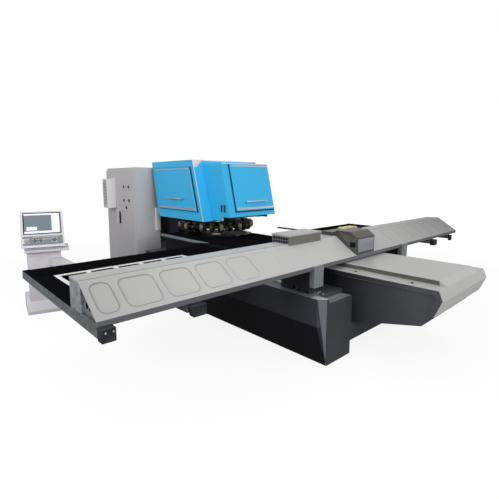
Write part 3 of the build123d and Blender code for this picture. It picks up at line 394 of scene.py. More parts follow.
class PRESS_OT_finishes(Operator):
    """Make the finishes and give each solid its own"""

    bl_idname = "press.finishes"
    bl_label = "Finishes"

    def execute(self, context):
        make_finishes(context.scene.press_finishes)
        for entry in frame["record"]["subparts"]:
            name = entry["node"]
            piece = nodes[name]
            piece.data.materials.clear()
            piece.data.materials.append(finishes[own_finishes.get(name, entry["material_slot"])])
        return {"FINISHED"}


def soften(piece, width, segments=2, limit="ANGLE", angle=30):
    """Add a bevel to the edges of a piece."""
    edge = piece.modifiers.new("Edge", "BEVEL")
    edge.width = width
    edge.segments = segments
    edge.limit_method = limit
    edge.angle_limit = math.radians(angle)
    return edge


class PRESS_OT_edges(Operator):
    """Round the edges of the solids that show"""

    bl_idname = "press.edges"
    bl_label = "Edges"

    def execute(self, context):
        radius = context.scene.press_sizes.edge
        for name, piece in nodes.items():
            weld = piece.modifiers.new("Weld", "WELD")
            weld.merge_threshold = 0.00005
            flat = piece.modifiers.new("Flat faces", "DECIMATE")
            flat.decimate_type = "DISSOLVE"
            flat.angle_limit = math.radians(0.5)
            fine = name == "slope_cover_right"
            soften(piece, 0.001 if fine else radius, angle=25).harden_normals = True
        return {"FINISHED"}


def only(piece):
    """Select one piece alone and make it active."""
    bpy.ops.object.select_all(action="DESELECT")
    piece.select_set(True)
    bpy.context.view_layer.objects.active = piece


def settle(piece, matrix=None):
    """Put a piece's place, turn and scale into its mesh."""
    only(piece)
    if matrix:
        piece.matrix_world = matrix
    bpy.ops.object.transform_apply(location=True, rotation=True, scale=True)
    return piece


def named(name):
    """Name the piece that was just added and settle it."""
    piece = bpy.context.object
    piece.name = name
    return settle(piece)


def block(name, low, high):
    """Start a piece as a box between two corners."""
    middle = [(a + b) / 2 for a, b in zip(low, high)]
    spans = [b - a for a, b in zip(low, high)]
    bpy.ops.mesh.primitive_cube_add(size=1, location=middle, scale=spans)
    return named(name)


def sided(name, side, x_span, y_span, z_span):
    """Start a box on the left (-1) or the right (1), its X counted outwards from the middle."""
    ends = sorted(side * x for x in x_span)
    return block(f"{name}_{dict(SIDES)[side]}", *zip(ends, y_span, z_span))


def disc(name, middle, radius, depth, axis="Z", sides=24):
    """Start a round piece from its middle, radius and length along an axis."""
    turn = {"X": (0, math.pi / 2, 0), "Y": (math.pi / 2, 0, 0), "Z": (0, 0, 0)}[axis]
    bpy.ops.mesh.primitive_cylinder_add(
        vertices=sides, radius=radius, depth=depth, location=middle, rotation=turn
    )
    return named(name)


def choose(piece, kind, test=lambda item: True):
    """Go into edit mode with the points or faces selected that pass a test, or with all."""
    only(piece)
    bpy.ops.object.mode_set(mode="EDIT")
    bpy.ops.mesh.select_mode(type=kind)
    bpy.ops.mesh.select_all(action="DESELECT")
    bpy.ops.object.mode_set(mode="OBJECT")
    for item in piece.data.vertices if kind == "VERT" else piece.data.polygons:
        item.select = test(item)
    bpy.ops.object.mode_set(mode="EDIT")


def leave(piece):
    """Go back to object mode."""
    bpy.ops.object.mode_set(mode="OBJECT")
    return piece


def shift(piece, test, step):
    """Move the points of a piece that pass a test of their place."""
    choose(piece, "VERT", lambda point: test(point.co))
    bpy.ops.transform.translate(value=step)
    return leave(piece)


def sink(piece, way, rim, depth):
    """Inset the faces that look along a direction and push their middle in, or out if negative."""
    way = Vector(way)
    choose(piece, "FACE", lambda face: face.normal.dot(way) > FACING)
    bpy.ops.mesh.inset(thickness=rim)
    bpy.ops.mesh.extrude_region_move(TRANSFORM_OT_translate={"value": -way * depth})
    return leave(piece)


def pierce(piece, way, rim):
    """Turn a flat piece into a frame, open along a direction."""
    way = Vector(way)
    choose(piece, "FACE", lambda face: abs(face.normal.dot(way)) > FACING)
    bpy.ops.mesh.inset(thickness=rim)
    bpy.ops.mesh.bridge_edge_loops()
    return leave(piece)


def copies(piece, steps):
    """Copy what a piece holds to further places, each counted from the first."""
    choose(piece, "FACE")
    last = Vector((0, 0, 0))
    for step in steps:
        bpy.ops.mesh.duplicate_move(TRANSFORM_OT_translate={"value": Vector(step) - last})
        last = Vector(step)
    return leave(piece)


def row(step, count):
    """Places of the copies in a row of this many."""
    return [Vector(step) * index for index in range(1, count)]


def joined(made):
    """Several pieces joined into the first."""
    only(made[0])
    for piece in made:
        piece.select_set(True)
    bpy.ops.object.join()
    return made[0]


def done(piece, body, slot, finish=None, edge=0.0015):
    """Round a piece's edges, give it its finish and let it ride on its body."""
    only(piece)
    if edge:
        soften(piece, edge)
        bpy.ops.object.modifier_apply(modifier="Edge")
    bpy.ops.object.shade_smooth_by_angle(angle=math.radians(35))
    piece.data.materials.clear()
    piece.data.materials.append(finishes[finish or slot])
    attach(piece, body)
    return piece


def wall(line, z):
    """Y of a leaning wall of the hood at a height."""
    y, foot, run = line
    return y + run * (z - foot)


def beside(line, step):
    """A line that runs this far behind another."""
    return (line[0] + step, *line[1:])


def front_plane():
    """The front hood's leaning face as a plane, with Y up along the slope."""
    y, foot, run = HOOD_FACE
    turn = Matrix.Rotation(math.pi / 2 - math.atan(run), 4, "X")
    return Matrix.Translation((0, y, foot)) @ turn


def leaning(name, line, x_span, y_span, z_span):
    """A box whose front follows a leaning line of the hood."""
    foot, top = (wall(line, z) for z in z_span)
    piece = block(name, *zip(x_span, [foot + y for y in y_span], z_span))
    return shift(piece, lambda spot: spot.z > sum(z_span) / 2, (0, top - foot, 0))


class PRESS_OT_hood_highlights(Operator):
    """Fold pale strips of painted highlight round the hood's front edges, with a painted lit patch
    at the top corner
    """

    bl_idname = "press.hood_edging"
    bl_label = "Hood highlights"

    def execute(self, context):
        lap = (-0.004, 0.002)
        # Every pale strip here is a painted highlight on a lit edge.
        look = ("base", "light_sheet", "hood_edging", 0.001)
        side = leaning("hood_edge_highlight", HOOD_FRONT, (-0.6415, -0.633), lap, (1.146, 1.930))
        # Painted light: the pale patch at the top corner is the lit part of the shaded step wall.
        lit_patch = leaning("hood_lit_patch", HOOD_FRONT, (-0.6415, -0.590), lap, (1.930, 2.040))
        shift(lit_patch, lambda spot: spot.z > 1.98 and spot.x > -0.61, (0.128, 0, 0))
        top = leaning("hood_top_highlight", HOOD_FRONT, (-0.462, 0.640), lap, (2.030, 2.040))
        done(joined([side, lit_patch, top]), *look)
        brow = leaning("hood_brow_highlight", HOOD_FACE, (-0.457, 0.457), lap, (1.976, 1.989))
        done(sink(brow, UP, 0.001, 0.0004), *look)
        skirt = block("hood_skirt_highlight", (-0.459, -0.191, 1.163), (-0.445, -0.186, 1.216))
        done(sink(skirt, FRONT, 0.003, 0.001), *look)
        return {"FINISHED"}


class PRESS_OT_hatch_shadows(Operator):
    """Lay dark strips of painted shadow in the gaps round both hatches and the strip of painted
    highlight on the side hatch's edge
    """

    bl_idname = "press.hatch_seals"
    bl_label = "Hatch shadows"

    def execute(self, context):
        low, high, inset = 1.285, 1.935, 0.095
        skin = (-0.6500, -0.6398)
        front, back = beside(HOOD_FRONT, inset), beside(HOOD_BACK, -inset)
        tall = (low - 0.010, high + 0.006)
        wide = [(0.004, wall(back, z) - wall(front, z)) for z in (low, high)]
        # Dark blue strips of painted shadow in the gaps round the side hatch.
        strips = [
            leaning("side_gap_shadow", line, skin, y_span, z_span)
            for line, y_span, z_span in (
                (front, (-0.026, 0.004), tall),
                (back, (-0.004, 0.008), tall),
                (front, wide[0], (low - 0.010, low + 0.004)),
                (front, wide[1], (high - 0.004, high + 0.006)),
            )
        ]
        done(joined(strips), "base", "black_plastic", "hatch_seal", 0.002)
        # A pale blue strip of painted highlight along the side hatch's front edge.
        bead = leaning("side_hatch_highlight", front, (-0.6625, -0.6600), (-0.001, 0.009), (low, high))
        done(sink(bead, LEFT, 0.002, 0.0005), "side_hatch", "hood_blue", "hatch_edge", 0.0005)

        # Dark blue strips of painted shadow in the gaps round the front hatch.
        strips = [
            block("front_gap_shadow", (*low, -0.001), (*high, 0.011))
            for low, high in (
                ((-0.345, 0.066), (-0.321, 0.774)),
                ((-0.321, 0.066), (0.444, 0.088)),
                ((0.436, 0.088), (0.448, 0.774)),
            )
        ]
        front_gaps = settle(joined(strips), front_plane())
        done(front_gaps, "base", "black_plastic", "hatch_seal", 0.002)
        return {"FINISHED"}


def grip(name, middle, long=0.43, reach=0.040):
    """A bar handle on two legs, laid out flat with its bar along X."""
    end = long / 2
    bar = block(name, (-end, -0.008, reach), (end, 0.008, reach + 0.016))
    leg = block("grip_leg", (0.010 - end, -0.007, 0), (0.024 - end, 0.007, reach + 0.004))
    copies(leg, [(long - 0.034, 0, 0)])
    return settle(joined([bar, leg]), Matrix.Translation(middle))


class PRESS_OT_hatch_trims(Operator):
    """Put the bright trims and the bar handles on both hatches"""

    bl_idname = "press.hatch_trims"
    bl_label = "Hatch trims"

    def execute(self, context):
        skin, strips = 0.0203, []
        for name, low, high in (("front_hatch_trims", 0.100, 0.130), ("trim_high", 0.738, 0.756)):
            strip = block(name, (-0.309, low, skin), (0.424, high, skin + 0.004))
            strips.append(sink(strip, UP, 0.005, 0.001))
        bar = grip("front_grip", (0.0575, 0.206, skin))
        trims = settle(joined([*strips, bar]), front_plane())
        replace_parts(done(trims, "front_hatch", "bright_trim"), "front_hatch_fittings")

        inset, skin = 0.111, -0.6603
        quarter = math.pi / 2
        turn = Matrix.Rotation(-quarter, 4, "Z") @ Matrix.Rotation(quarter, 4, "X")
        front, back = beside(HOOD_FRONT, inset), beside(HOOD_BACK, -inset)
        strips = []
        for name, foot, top in (("side_hatch_trims", 1.301, 1.331), ("trim_high", 1.901, 1.919)):
            wide = wall(back, foot) - wall(front, foot)
            strip = leaning(name, front, (skin - 0.004, skin), (0, wide), (foot, top))
            strips.append(sink(strip, LEFT, 0.005, 0.001))
        bar = grip("side_grip", (0, 0, 0))
        settle(bar, Matrix.Translation((skin, 0.72, 1.462)) @ turn)
        trims = done(joined([*strips, bar]), "side_hatch", "bright_trim")
        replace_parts(trims, "side_hatch_fittings")
        return {"FINISHED"}


class PRESS_OT_hood_switch(Operator):
    """Mount the pair of selector switches on the front hood's left wall"""

    bl_idname = "press.hood_switch"
    bl_label = "Hood switch"

    def execute(self, context):
        case = block("hood_switch", (-0.461, -0.252, 1.292), (-0.4565, -0.216, 1.388))
        sink(case, LEFT, 0.004, -0.004)
        sink(case, LEFT, 0.006, 0.003)
        # The switches share the dark blue that the hatch gaps use as painted shadow.
        done(copies(case, [(0, 0.066, 0)]), "base", "black_plastic", "hatch_seal")
        return {"FINISHED"}


class PRESS_OT_cabinet_fittings(Operator):
    """Fit the cooling grille, lamp bezels, lock plate, plinth and cable box to the cabinet"""

    bl_idname = "press.cabinet_fittings"
    bl_label = "Cabinet fittings"

    def execute(self, context):
        grille = block("fan_grille", (-1.121, 2.258, 1.262), (-1.1128, 2.437, 1.752))
        done(sink(grille, LEFT, 0.012, 0.006), "base", "cabinet_grey", "fan_grey", 0.001)
        slat = block("fan_slats", (-1.1205, 2.272, 1.290), (-1.1145, 2.423, 1.300))
        sink(slat, LEFT, 0.002, 0.001)
        done(copies(slat, row((0, 0, 0.026), 17)), "base", "black_plastic", "key_grey", 0)

        bezel = disc("lamp_bezels", (-0.965, 1.728, 1.628), 0.026, 0.006, "X")
        pierce(bezel, RIGHT, 0.009)
        copies(bezel, [(0, 0.188, 0), (0, -0.004, -0.235), (0, 0.192, -0.235), (0, 0.105, -0.361)])
        done(bezel, "cabinet_door", "black_plastic", edge=0.001)
        lock = disc("lock_plate", (-0.965, 2.100, 1.110), 0.030, 0.005, "X", 32)
        shift(lock, lambda spot: spot.z > 1.112, (0, 0, 0.040))
        shift(lock, lambda spot: spot.z < 1.108, (0, 0, -0.105))
        done(sink(lock, LEFT, 0.006, 0.002), "cabinet_door", "black_plastic", edge=0.001)

        plinth = block("cabinet_plinth", (-0.947, 1.506, 0.0), (-0.500, 2.640, 0.055))
        done(pierce(plinth, UP, 0.012), "base", "charcoal_paint", edge=0.001)

        box = block("cable_box", (-0.595, 1.478, 0.872), (-0.512, 1.5105, 1.265))
        done(sink(box, FRONT, 0.008, -0.003), "base", "light_sheet", edge=0.003)
        return {"FINISHED"}


class PRESS_OT_console_front(Operator):
    """Fit the foot, the display's bezel and fields, the keys and the buttons' rims"""

    bl_idname = "press.console_front"
    bl_label = "Console front"

    def execute(self, context):
        setback, rise = 0.230, 0.440
        turn = Matrix.Rotation(math.radians(-14.3), 4, "Z")
        lean = Matrix.Rotation(math.pi / 2 - math.atan2(setback, rise), 4, "X")
        turned = Matrix.Translation((-2.439, 1.221, 0)) @ turn
        face = turned @ Matrix.Translation((0, -0.275, 0.885)) @ lean

        plinth = block("console_plinth", (-0.225, -0.260, 0), (0.225, 0.200, 0.050))
        choose(plinth, "FACE", lambda face: face.normal.z > 0.5)
        bpy.ops.mesh.extrude_region_move(TRANSFORM_OT_translate={"value": (0, 0, 0.150)})
        leave(plinth)
        shift(plinth, lambda spot: spot.z > 0.1 and spot.y < 0, (0, 0.140, 0))
        for side, _ in SIDES:
            shift(plinth, lambda spot: spot.y > 0.1 and spot.x * side > 0, (side * 0.045, 0, 0))
            flare = (side * 0.0137, 0, 0)
            shift(plinth, lambda spot: spot.z > 0.1 > spot.y and spot.x * side > 0, flare)
        done(settle(plinth, turned), "base", "console_grey", edge=0.004)
        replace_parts(plinth, "console_foot")
        bezel = block("screen_bezel", (-0.219, 0.183, 0), (0.219, 0.485, 0.006))
        pierce(bezel, UP, 0.010)
        done(settle(bezel, face), "base", "black_plastic", edge=0.002)

        def plates(name, thick, rim, depth, spans):
            made = []
            for left, low, right, high in spans:
                plate = block(name, (left, low, 0), (right, high, thick))
                made.append(sink(plate, UP, rim, depth))
            return settle(joined(made), face)

        fields = (
            (-0.206, 0.450, 0.206, 0.474),
            (0.110, 0.226, 0.206, 0.450),
            (-0.180, 0.240, -0.060, 0.288),
            (-0.206, 0.196, 0.206, 0.226),
        )
        shown = plates("screen_fields", 0.0012, 0.002, 0.0004, fields)
        done(shown, "base", "screen", "screen_light", 0)
        panels = [(-0.228, low, 0.228, high) for low, high in ((0.129, 0.156), (0.034, 0.063))]
        between = ((0.002, 0.100), (0.160, 0.228), (-0.154, -0.119), (-0.071, -0.049))
        panels += [(left, 0.064, right, 0.128) for left, right in between]
        for left, right in ((-0.118, -0.072), (-0.048, 0.001)):
            panels += [(left, 0.064, right, 0.073), (left, 0.119, right, 0.128)]
        panel = plates("key_panel", 0.002, 0.003, 0.0005, panels)
        done(panel, "base", "console_grey", "panel_grey", 0)
        key = block("panel_keys", (-0.115, 0.134, 0.001), (-0.095, 0.152, 0.004))
        sink(key, UP, 0.002, -0.001)
        pitch = 0.027
        places = [(pitch * column, 0, 0) for column in range(1, 12)]
        places += [(pitch * column + 0.126, -0.032, 0) for column in range(3)]
        copies(key, places)
        done(settle(key, face), "base", "black_plastic", "key_light", 0.001)
        rims = []
        for x, radius in ((-0.185, 0.0305), (-0.095, 0.0225), (-0.025, 0.0225), (0.130, 0.0275)):
            rim = disc("button_rims", (x, 0.096, 0.002), radius, 0.006, "Z", 32)
            rims.append(pierce(rim, UP, 0.0088))
        rims[0].name = "stop_ring"
        done(settle(rims[0], face), "base", "button_yellow", edge=0.001)
        done(settle(joined(rims[1:]), face), "base", "black_plastic", "key_grey", 0.001)
        return {"FINISHED"}


def station(index, radius, z):
    """Place of one of the stations in a sector of the turret."""
    angle = math.radians(index * STATION_ANGLE - 90)
    return (radius * math.cos(angle), TURRET_Y + radius * math.sin(angle), z)


def all_sectors(piece):
    """Copy what a piece holds to the turret's other sectors."""
    choose(piece, "FACE")
    bpy.ops.mesh.spin(
        steps=SECTORS - 1,
        dupli=True,
        angle=math.radians(360 - 360 / SECTORS),
        center=(0, TURRET_Y, 0),
        axis=UP,
    )
    return leave(piece)


class PRESS_OT_tool_rings(Operator):
    """Put the rings on the tools and the guide barrels on the turret's rim"""

    bl_idname = "press.tool_rings"
    bl_label = "Tool rings"

    def execute(self, context):
        tools, guides = 0.536, 0.592
        for name, grow, z, depth, rim, finish in (
            ("tool_head_rings", 0.0125, 1.078, 0.016, 0.012, "tool_gold"),
            ("tool_tip_rings", 0.004, 0.964, 0.010, 0.008, "tool_steel"),
        ):
            made = []
            for index, share in enumerate(TOOL_SHARES):
                radius = TOOL_RADIUS * share + grow
                ring = disc(name, station(index, tools, z), radius, depth, "Z", 20)
                made.append(all_sectors(pierce(ring, UP, rim)))
            done(joined(made), "turret_top", "tool_steel", finish)
        for name, index, radius, z, depth, finish in (
            ("station_barrels", 0, 0.034, 1.036, 0.066, "dull_steel"),
            ("station_sleeves", 1, 0.026, 1.030, 0.054, "tool_gold"),
            ("station_bushes", 2, 0.030, 1.036, 0.062, "light_bush"),
            ("station_plugs", 3, 0.022, 1.026, 0.046, "tool_steel"),
        ):
            barrel = disc(name, station(index, guides, z), radius, depth, "Z", 20)
            sink(barrel, UP, 0.006, -0.008)
            sink(barrel, DOWN, 0.007, -0.014)
            done(all_sectors(barrel), "turret_top", "tool_steel", finish)
        return {"FINISHED"}


class PRESS_OT_tufts(Operator):
    """Plant the tufts of the brush tables"""

    bl_idname = "press.tufts"
    bl_label = "Brush tufts"

    def execute(self, context):
        spacing = context.scene.press_sizes.tuft
        for name, x_span, y_span in (
            ("tufts_left_rear", (-2.94, -0.97), (-0.73, -0.385)),
            ("tufts_left_inner", (-1.47, -0.97), (-1.50, -0.77)),
            ("tufts_right", (1.21, 2.45), (-1.50, -0.385)),
        ):
            tuft = disc(name, (x_span[0], y_span[0], 0.9025), 0.012, 0.008, "Z", 6)
            sink(tuft, UP, 0.003, 0.002)
            for axis, span in enumerate((x_span, y_span)):
                row = tuft.modifiers.new("Row", "ARRAY")
                row.use_relative_offset = False
                row.use_constant_offset = True
                row.constant_offset_displace = [spacing * (axis == side) for side in range(3)]
                row.count = int((span[1] - span[0]) / spacing) + 1
                bpy.ops.object.modifier_apply(modifier="Row")
            done(tuft, "gantry", "brush_black", edge=0)
        return {"FINISHED"}


def bolt(name, middle, way, radius):
    """One socket-head bolt that stands out along an axis."""
    axis = "XYZ"[[abs(part) for part in way].index(1)]
    place = [m + w * radius * 0.4 for m, w in zip(middle, way)]
    head = disc(name, place, radius, radius * 0.9, axis, 16)
    return sink(head, way, radius * 0.42, radius * 0.5)


class PRESS_OT_bolts(Operator):
    """Set the feet, bolts, plugs, webs, hooks and brush strips along the beam"""

    bl_idname = "press.bolts"
    bl_label = "Bolts"

    def execute(self, context):
        radius = context.scene.press_sizes.bolt
        feet = []
        for name, low, high, lean in (
            ("bar_end_feet", (-3.018, -2.270, 0.815), (-2.932, -2.203, 0.898), 0.0),
            ("bar_foot", (-2.400, -2.260, 0.806), (-2.270, -2.203, 0.885), 0.022),
            ("bar_foot", (1.755, -2.260, 0.806), (1.885, -2.203, 0.885), 0.022),
            ("bar_foot", (2.470, -2.240, 0.800), (2.530, -2.203, 0.885), 0.010),
        ):
            foot = block(name, low, high)
            shift(foot, lambda spot: spot.z < 0.82 and spot.x < low[0] + 0.01, (lean, 0, 0))
            feet.append(sink(foot, FRONT, 0.008, 0.002))
        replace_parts(done(joined(feet), "gantry", "charcoal_paint", edge=0.003), "bar_end_blocks")
        front = bolt("end_block_bolts", (-2.996, -2.268, 0.876), FRONT, radius * 0.7)
        done(copies(front, [(0.048, 0, 0)]), "gantry", "ground_steel", edge=0.001)
        for side, name, x in ((-1, "left", -2.995), (1, "right", 2.775)):
            spot = (x + side * 0.003, -2.000, 0.966)
            plug = disc(f"web_plugs_{name}", spot, 0.013, 0.006, "X", 16)
            shift(plug, lambda spot: spot.z > 0.966, (0, 0, 0.016))
            sink(plug, (side, 0, 0), 0.004, 0.003)
            copies(plug, [(0, -0.046, -0.006), (0, -0.092, -0.014)])
            done(plug, "gantry", "black_plastic", edge=0.001)
            ends = sorted((x + side * 0.0025, x - side * 0.0005))
            web = block(f"end_web_{name}", (ends[0], -2.192, 0.914), (ends[1], -1.948, 0.934))
            shift(web, lambda spot: spot.y > -2.0 and spot.z > 0.92, (0, 0, 0.160))
            sink(web, (side, 0, 0), 0.004, 0.0008)
            done(web, "gantry", "galvanised", "weathered_zinc", 0.0005)
            low, high = side * 0.910 - 0.0725, side * 0.910 + 0.0725
            hook = block(f"post_hook_{name}", (low, -2.2275, 0.880), (high, -2.2052, 0.932))
            done(sink(hook, FRONT, 0.008, 0.001), "gantry", "fascia_grey", "post_grey", 0.002)
        for name, low, high in (("left", -3.019, -2.959), ("right", 2.470, 2.529)):
            brush = block(f"bar_brush_{name}", (low, -1.740, 0.8990), (high, -0.368, 0.9035))
            done(sink(brush, UP, 0.006, 0.001), "gantry", "brush_black", edge=0)
        return {"FINISHED"}


class PRESS_OT_panel_beads(Operator):
    """Raise a bead round the pressed panels of the left end and run a dark strip of painted shade
    along the ridge crease
    """

    bl_idname = "press.panel_beads"
    bl_label = "Panel beads"

    def execute(self, context):
        bead = context.scene.press_sizes.bead
        rise, run = 0.188, 0.281
        slope = math.atan2(rise, run)

        def ring(name, x, width):
            half = width / 2 + 0.005
            piece = block(name, (-half, -0.130, 0), (half, 0.130, 0.0026))
            soften(piece, 0.057, segments=7, limit="WEIGHT")
            weights = piece.data.attributes.new("bevel_weight_edge", "FLOAT", "EDGE")
            for edge in piece.data.edges:
                ends = [piece.data.vertices[index].co.z for index in edge.vertices]
                weights.data[edge.index].value = float(abs(ends[0] - ends[1]) > 0.001)
            bpy.ops.object.modifier_apply(modifier="Edge")
            pierce(piece, UP, bead)
            foot = Matrix.Translation((x, -2.205, 0.930)) @ Matrix.Rotation(slope, 4, "X")
            return settle(piece, foot @ Matrix.Translation((0, 0.169, -0.0005)))

        first, pitch, wide = -2.669, 0.305, 0.248
        made = [ring("panel_beads", -2.915, 0.130)]
        for index in range(4):
            made.append(ring("panel_bead", first + pitch * index, wide))
        # The beads carry painted shade of the pressed grooves.
        done(joined(made), "gantry", "cover_grey", "bead_grey", 0.0006)
        # A dark strip of painted shade in the crease under the ridge.
        crease_shade = block("ridge_crease_shade", (-3.019, -1.922, 1.1175), (2.799, -1.917, 1.1192))
        done(sink(crease_shade, UP, 0.001, 0.0005), "gantry", "black_plastic", "key_grey", 0)
        return {"FINISHED"}


class PRESS_OT_beam_boxes(Operator):
    """Fit the lid, end plate, cheek, door, plugs and fins of the boxes on the beam"""

    bl_idname = "press.beam_boxes"
    bl_label = "Beam boxes"

    def execute(self, context):
        lid = block("valve_lid", (-1.036, -1.956, 1.190), (-0.514, -1.704, 1.2065))
        done(sink(lid, UP, 0.022, -0.004), "gantry", "box_grey", "lid_grey", 0.004)
        end = block("valve_end", (-1.034, -1.938, 1.120), (-1.0298, -1.722, 1.184))
        done(sink(end, LEFT, 0.006, 0.002), "gantry", "box_grey", "key_grey", 0.001)
        port = disc("valve_ports", (-1.036, -1.915, 1.135), 0.010, 0.010, "X", 12)
        sink(port, LEFT, 0.004, 0.004)
        places = [(0, 0.034 * column, 0.032 * row) for row in range(2) for column in range(6)]
        done(copies(port, places[1:]), "gantry", "black_plastic", edge=0.001)

        cheek = block("drive_cheek", (-0.2140, -2.196, 0.948), (-0.2095, -1.945, 1.112))
        shift(cheek, lambda spot: spot.y > -2.0 and spot.z < 1.0, (0, 0, 0.162))
        shift(cheek, lambda spot: spot.y > -2.0 and spot.z < 1.1125, (0, 0, 0.060))
        done(sink(cheek, LEFT, 0.008, 0.0015), "gantry", "box_grey", "skirt_grey", 0.001)
        plug = block("drive_plug", (-0.232, -2.186, 1.018), (-0.2125, -2.130, 1.070))
        sink(plug, LEFT, 0.006, -0.006)
        done(sink(plug, LEFT, 0.006, 0.006), "gantry", "black_plastic", edge=0.002)
        door = block("drive_door", (-0.190, -2.209, 0.960), (0.140, -2.2045, 1.104))
        done(sink(door, FRONT, 0.010, -0.002), "gantry", "box_grey", "door_sheet", 0.002)
        fin = block("motor_fins", (0.085, -1.868, 1.166), (0.091, -1.760, 1.174))
        sink(fin, UP, 0.0015, -0.001)
        done(copies(fin, row((0.020, 0, 0), 13)), "gantry", "motor_cast", edge=0.0005)
        neck = disc("motor_plugs", (0.395, -1.842, 1.140), 0.017, 0.100, "X", 20)
        sink(neck, RIGHT, 0.004, -0.022)
        sink(neck, RIGHT, 0.003, 0.006)
        done(copies(neck, [(0, 0.055, 0)]), "gantry", "black_plastic", edge=0.002)
        return {"FINISHED"}


class PRESS_OT_bed_fittings(Operator):
    """Lay the strips, flanges, bolts and caps on the bed and the table, with dark side plates of
    painted shade on the deck and pale plates of painted highlight on the bed's corner facets
    """

    bl_idname = "press.bed_fittings"
    bl_label = "Bed fittings"

    def execute(self, context):
        for side, name in SIDES:
            strip = sided("bed_strip", side, (0.938, 1.054), (-2.236, -0.480), (0.6495, 0.6530))
            done(sink(strip, UP, 0.006, 0.0008), "base", "ground_steel", "post_grey", 0.0008)
            ledge = sided("ledge_strip", side, (0.600, 0.955), (-2.380, -2.272), (0.6075, 0.6110))
            done(sink(ledge, UP, 0.006, 0.0008), "base", "ground_steel", "post_grey", 0.0008)
            stop = bolt(f"stop_bolt_{name}", (side * 0.888, -2.258, 0.650), UP, 0.016)
            done(stop, "base", "ground_steel", "weathered_zinc", 0.001)

            wall_skin = (0.5895, 0.5925)
            flange = sided("flange_strip", side, wall_skin, (-3.166, -0.945), (0.791, 0.831))
            shift(flange, lambda spot: spot.y < -3 and spot.z > 0.8, (0, -0.038, 0))
            chin = sided("flange_chin", side, wall_skin, (-3.238, -3.192), (0.749, 0.790))
            shift(chin, lambda spot: spot.z > 0.77 and spot.y < -3.2, (0, 0.034, 0.041))
            shift(chin, lambda spot: spot.z > 0.77 and spot.y > -3.2, (0, 0.026, 0.001))
            jaw = sided("flange_jaw", side, wall_skin, (-3.238, -3.192), (0.610, 0.749))
            shift(jaw, lambda spot: spot.z < 0.7, (0, 0.056, 0))
            done(joined([flange, chin, jaw]), "base", "charcoal_paint", "housing_coat", 0)

            screw = bolt(f"slab_screws_{name}", (side * 0.515, -2.950, 0.8325), UP, 0.013)
            done(copies(screw, [(0, 0.570, 0)]), "base", "ground_steel", "skirt_grey", 0.001)
            # A dark plate on each side of the deck: painted shade of the side faces.
            deck_skin = (0.4145, 0.4175)
            skirt = sided("deck_side_shade", side, deck_skin, (-3.150, -0.945), (0.8355, 0.8735))
            shift(skirt, lambda spot: spot.y < -3 and spot.z > 0.85, (0, 0.012, 0))
            sink(skirt, (side, 0, 0), 0.004, 0.0005)
            done(skirt, "base", "charcoal_paint", "skirt_grey", 0.0005)
            cap = sided("corner_cap", side, (0.968, 1.057), (-2.383, -2.240), (0.6495, 0.6545))
            choose(cap, "VERT", lambda point: point.co.x * side > 1.05 and point.co.y < -2.3)
            bpy.ops.mesh.bevel(offset=0.061, segments=1, affect="EDGES")
            done(leave(cap), "base", "ground_steel", "cover_grey", 0.001)

            # Pale plates on the corner facets: painted highlight of the lit facets.
            top_side = Vector((side * 1.060, -2.324, 0.650))
            top_front = Vector((side * 0.998, -2.386, 0.650))
            foot = Vector((side * 0.985, -2.386, 0.0))
            across = (top_side - top_front) * side
            wide = across.length / 2
            across.normalize()
            out = (foot - top_front).cross(across).normalized()
            up = out.cross(across)
            middle = (top_side + top_front) / 2
            tall = (middle - foot).dot(up)
            low = (foot - middle).dot(across)
            turn = Matrix((across, up, out)).transposed().to_4x4()
            place = Matrix.Translation(middle - up * tall) @ turn
            plate = block(f"bed_corner_highlight_{name}", (-wide, 0.004, -0.001), (wide, tall - 0.004, 0.001))
            for test, step in (
                (lambda spot: spot.y < tall / 2 and spot.x < 0, wide + low - 0.001),
                (lambda spot: spot.y < tall / 2 and spot.x > low, low - wide + 0.001),
            ):
                shift(plate, test, (step, 0, 0))
            done(settle(plate, place), "base", "charcoal_paint", "corner_grey", 0)
        strip = block("table_strip", (-0.934, -0.125, 0.8995), (-0.806, 0.735, 0.9015))
        shift(strip, lambda spot: spot.x > -0.85 and spot.y > 0.5, (0, 0.195, 0))
        shift(strip, lambda spot: spot.x > -0.85 and spot.y < 0.5, (0, -0.200, 0))
        done(sink(strip, UP, 0.006, 0.0005), "base", "light_sheet", "post_grey", 0.0005)
        return {"FINISHED"}


class PRESS_OT_rear_panel(Operator):
    """Hang the louvred service panel on the back of the frame"""

    bl_idname = "press.rear_panel"
    bl_label = "Rear panel"

    def execute(self, context):
        panel = block("rear_panel", (-0.262, 2.349, 0.760), (0.262, 2.356, 1.760))
        done(sink(panel, BACK, 0.030, -0.003), "base", "charcoal_paint", "fascia_grey", 0.002)
        slat = block("rear_louvres", (-0.170, 2.3575, 0.900), (0.170, 2.368, 0.918))
        sink(slat, BACK, 0.004, -0.004)
        done(copies(slat, row((0, 0, 0.036), 12)), "base", "charcoal_paint", "fascia_grey")
        screw = bolt("rear_screws", (-0.246, 2.356, 0.776), BACK, 0.008)
        places = [(x, 0, z) for x in (0, 0.492) for z in (0, 0.484, 0.968)]
        done(copies(screw, places[1:]), "base", "ground_steel", edge=0.001)
        return {"FINISHED"}


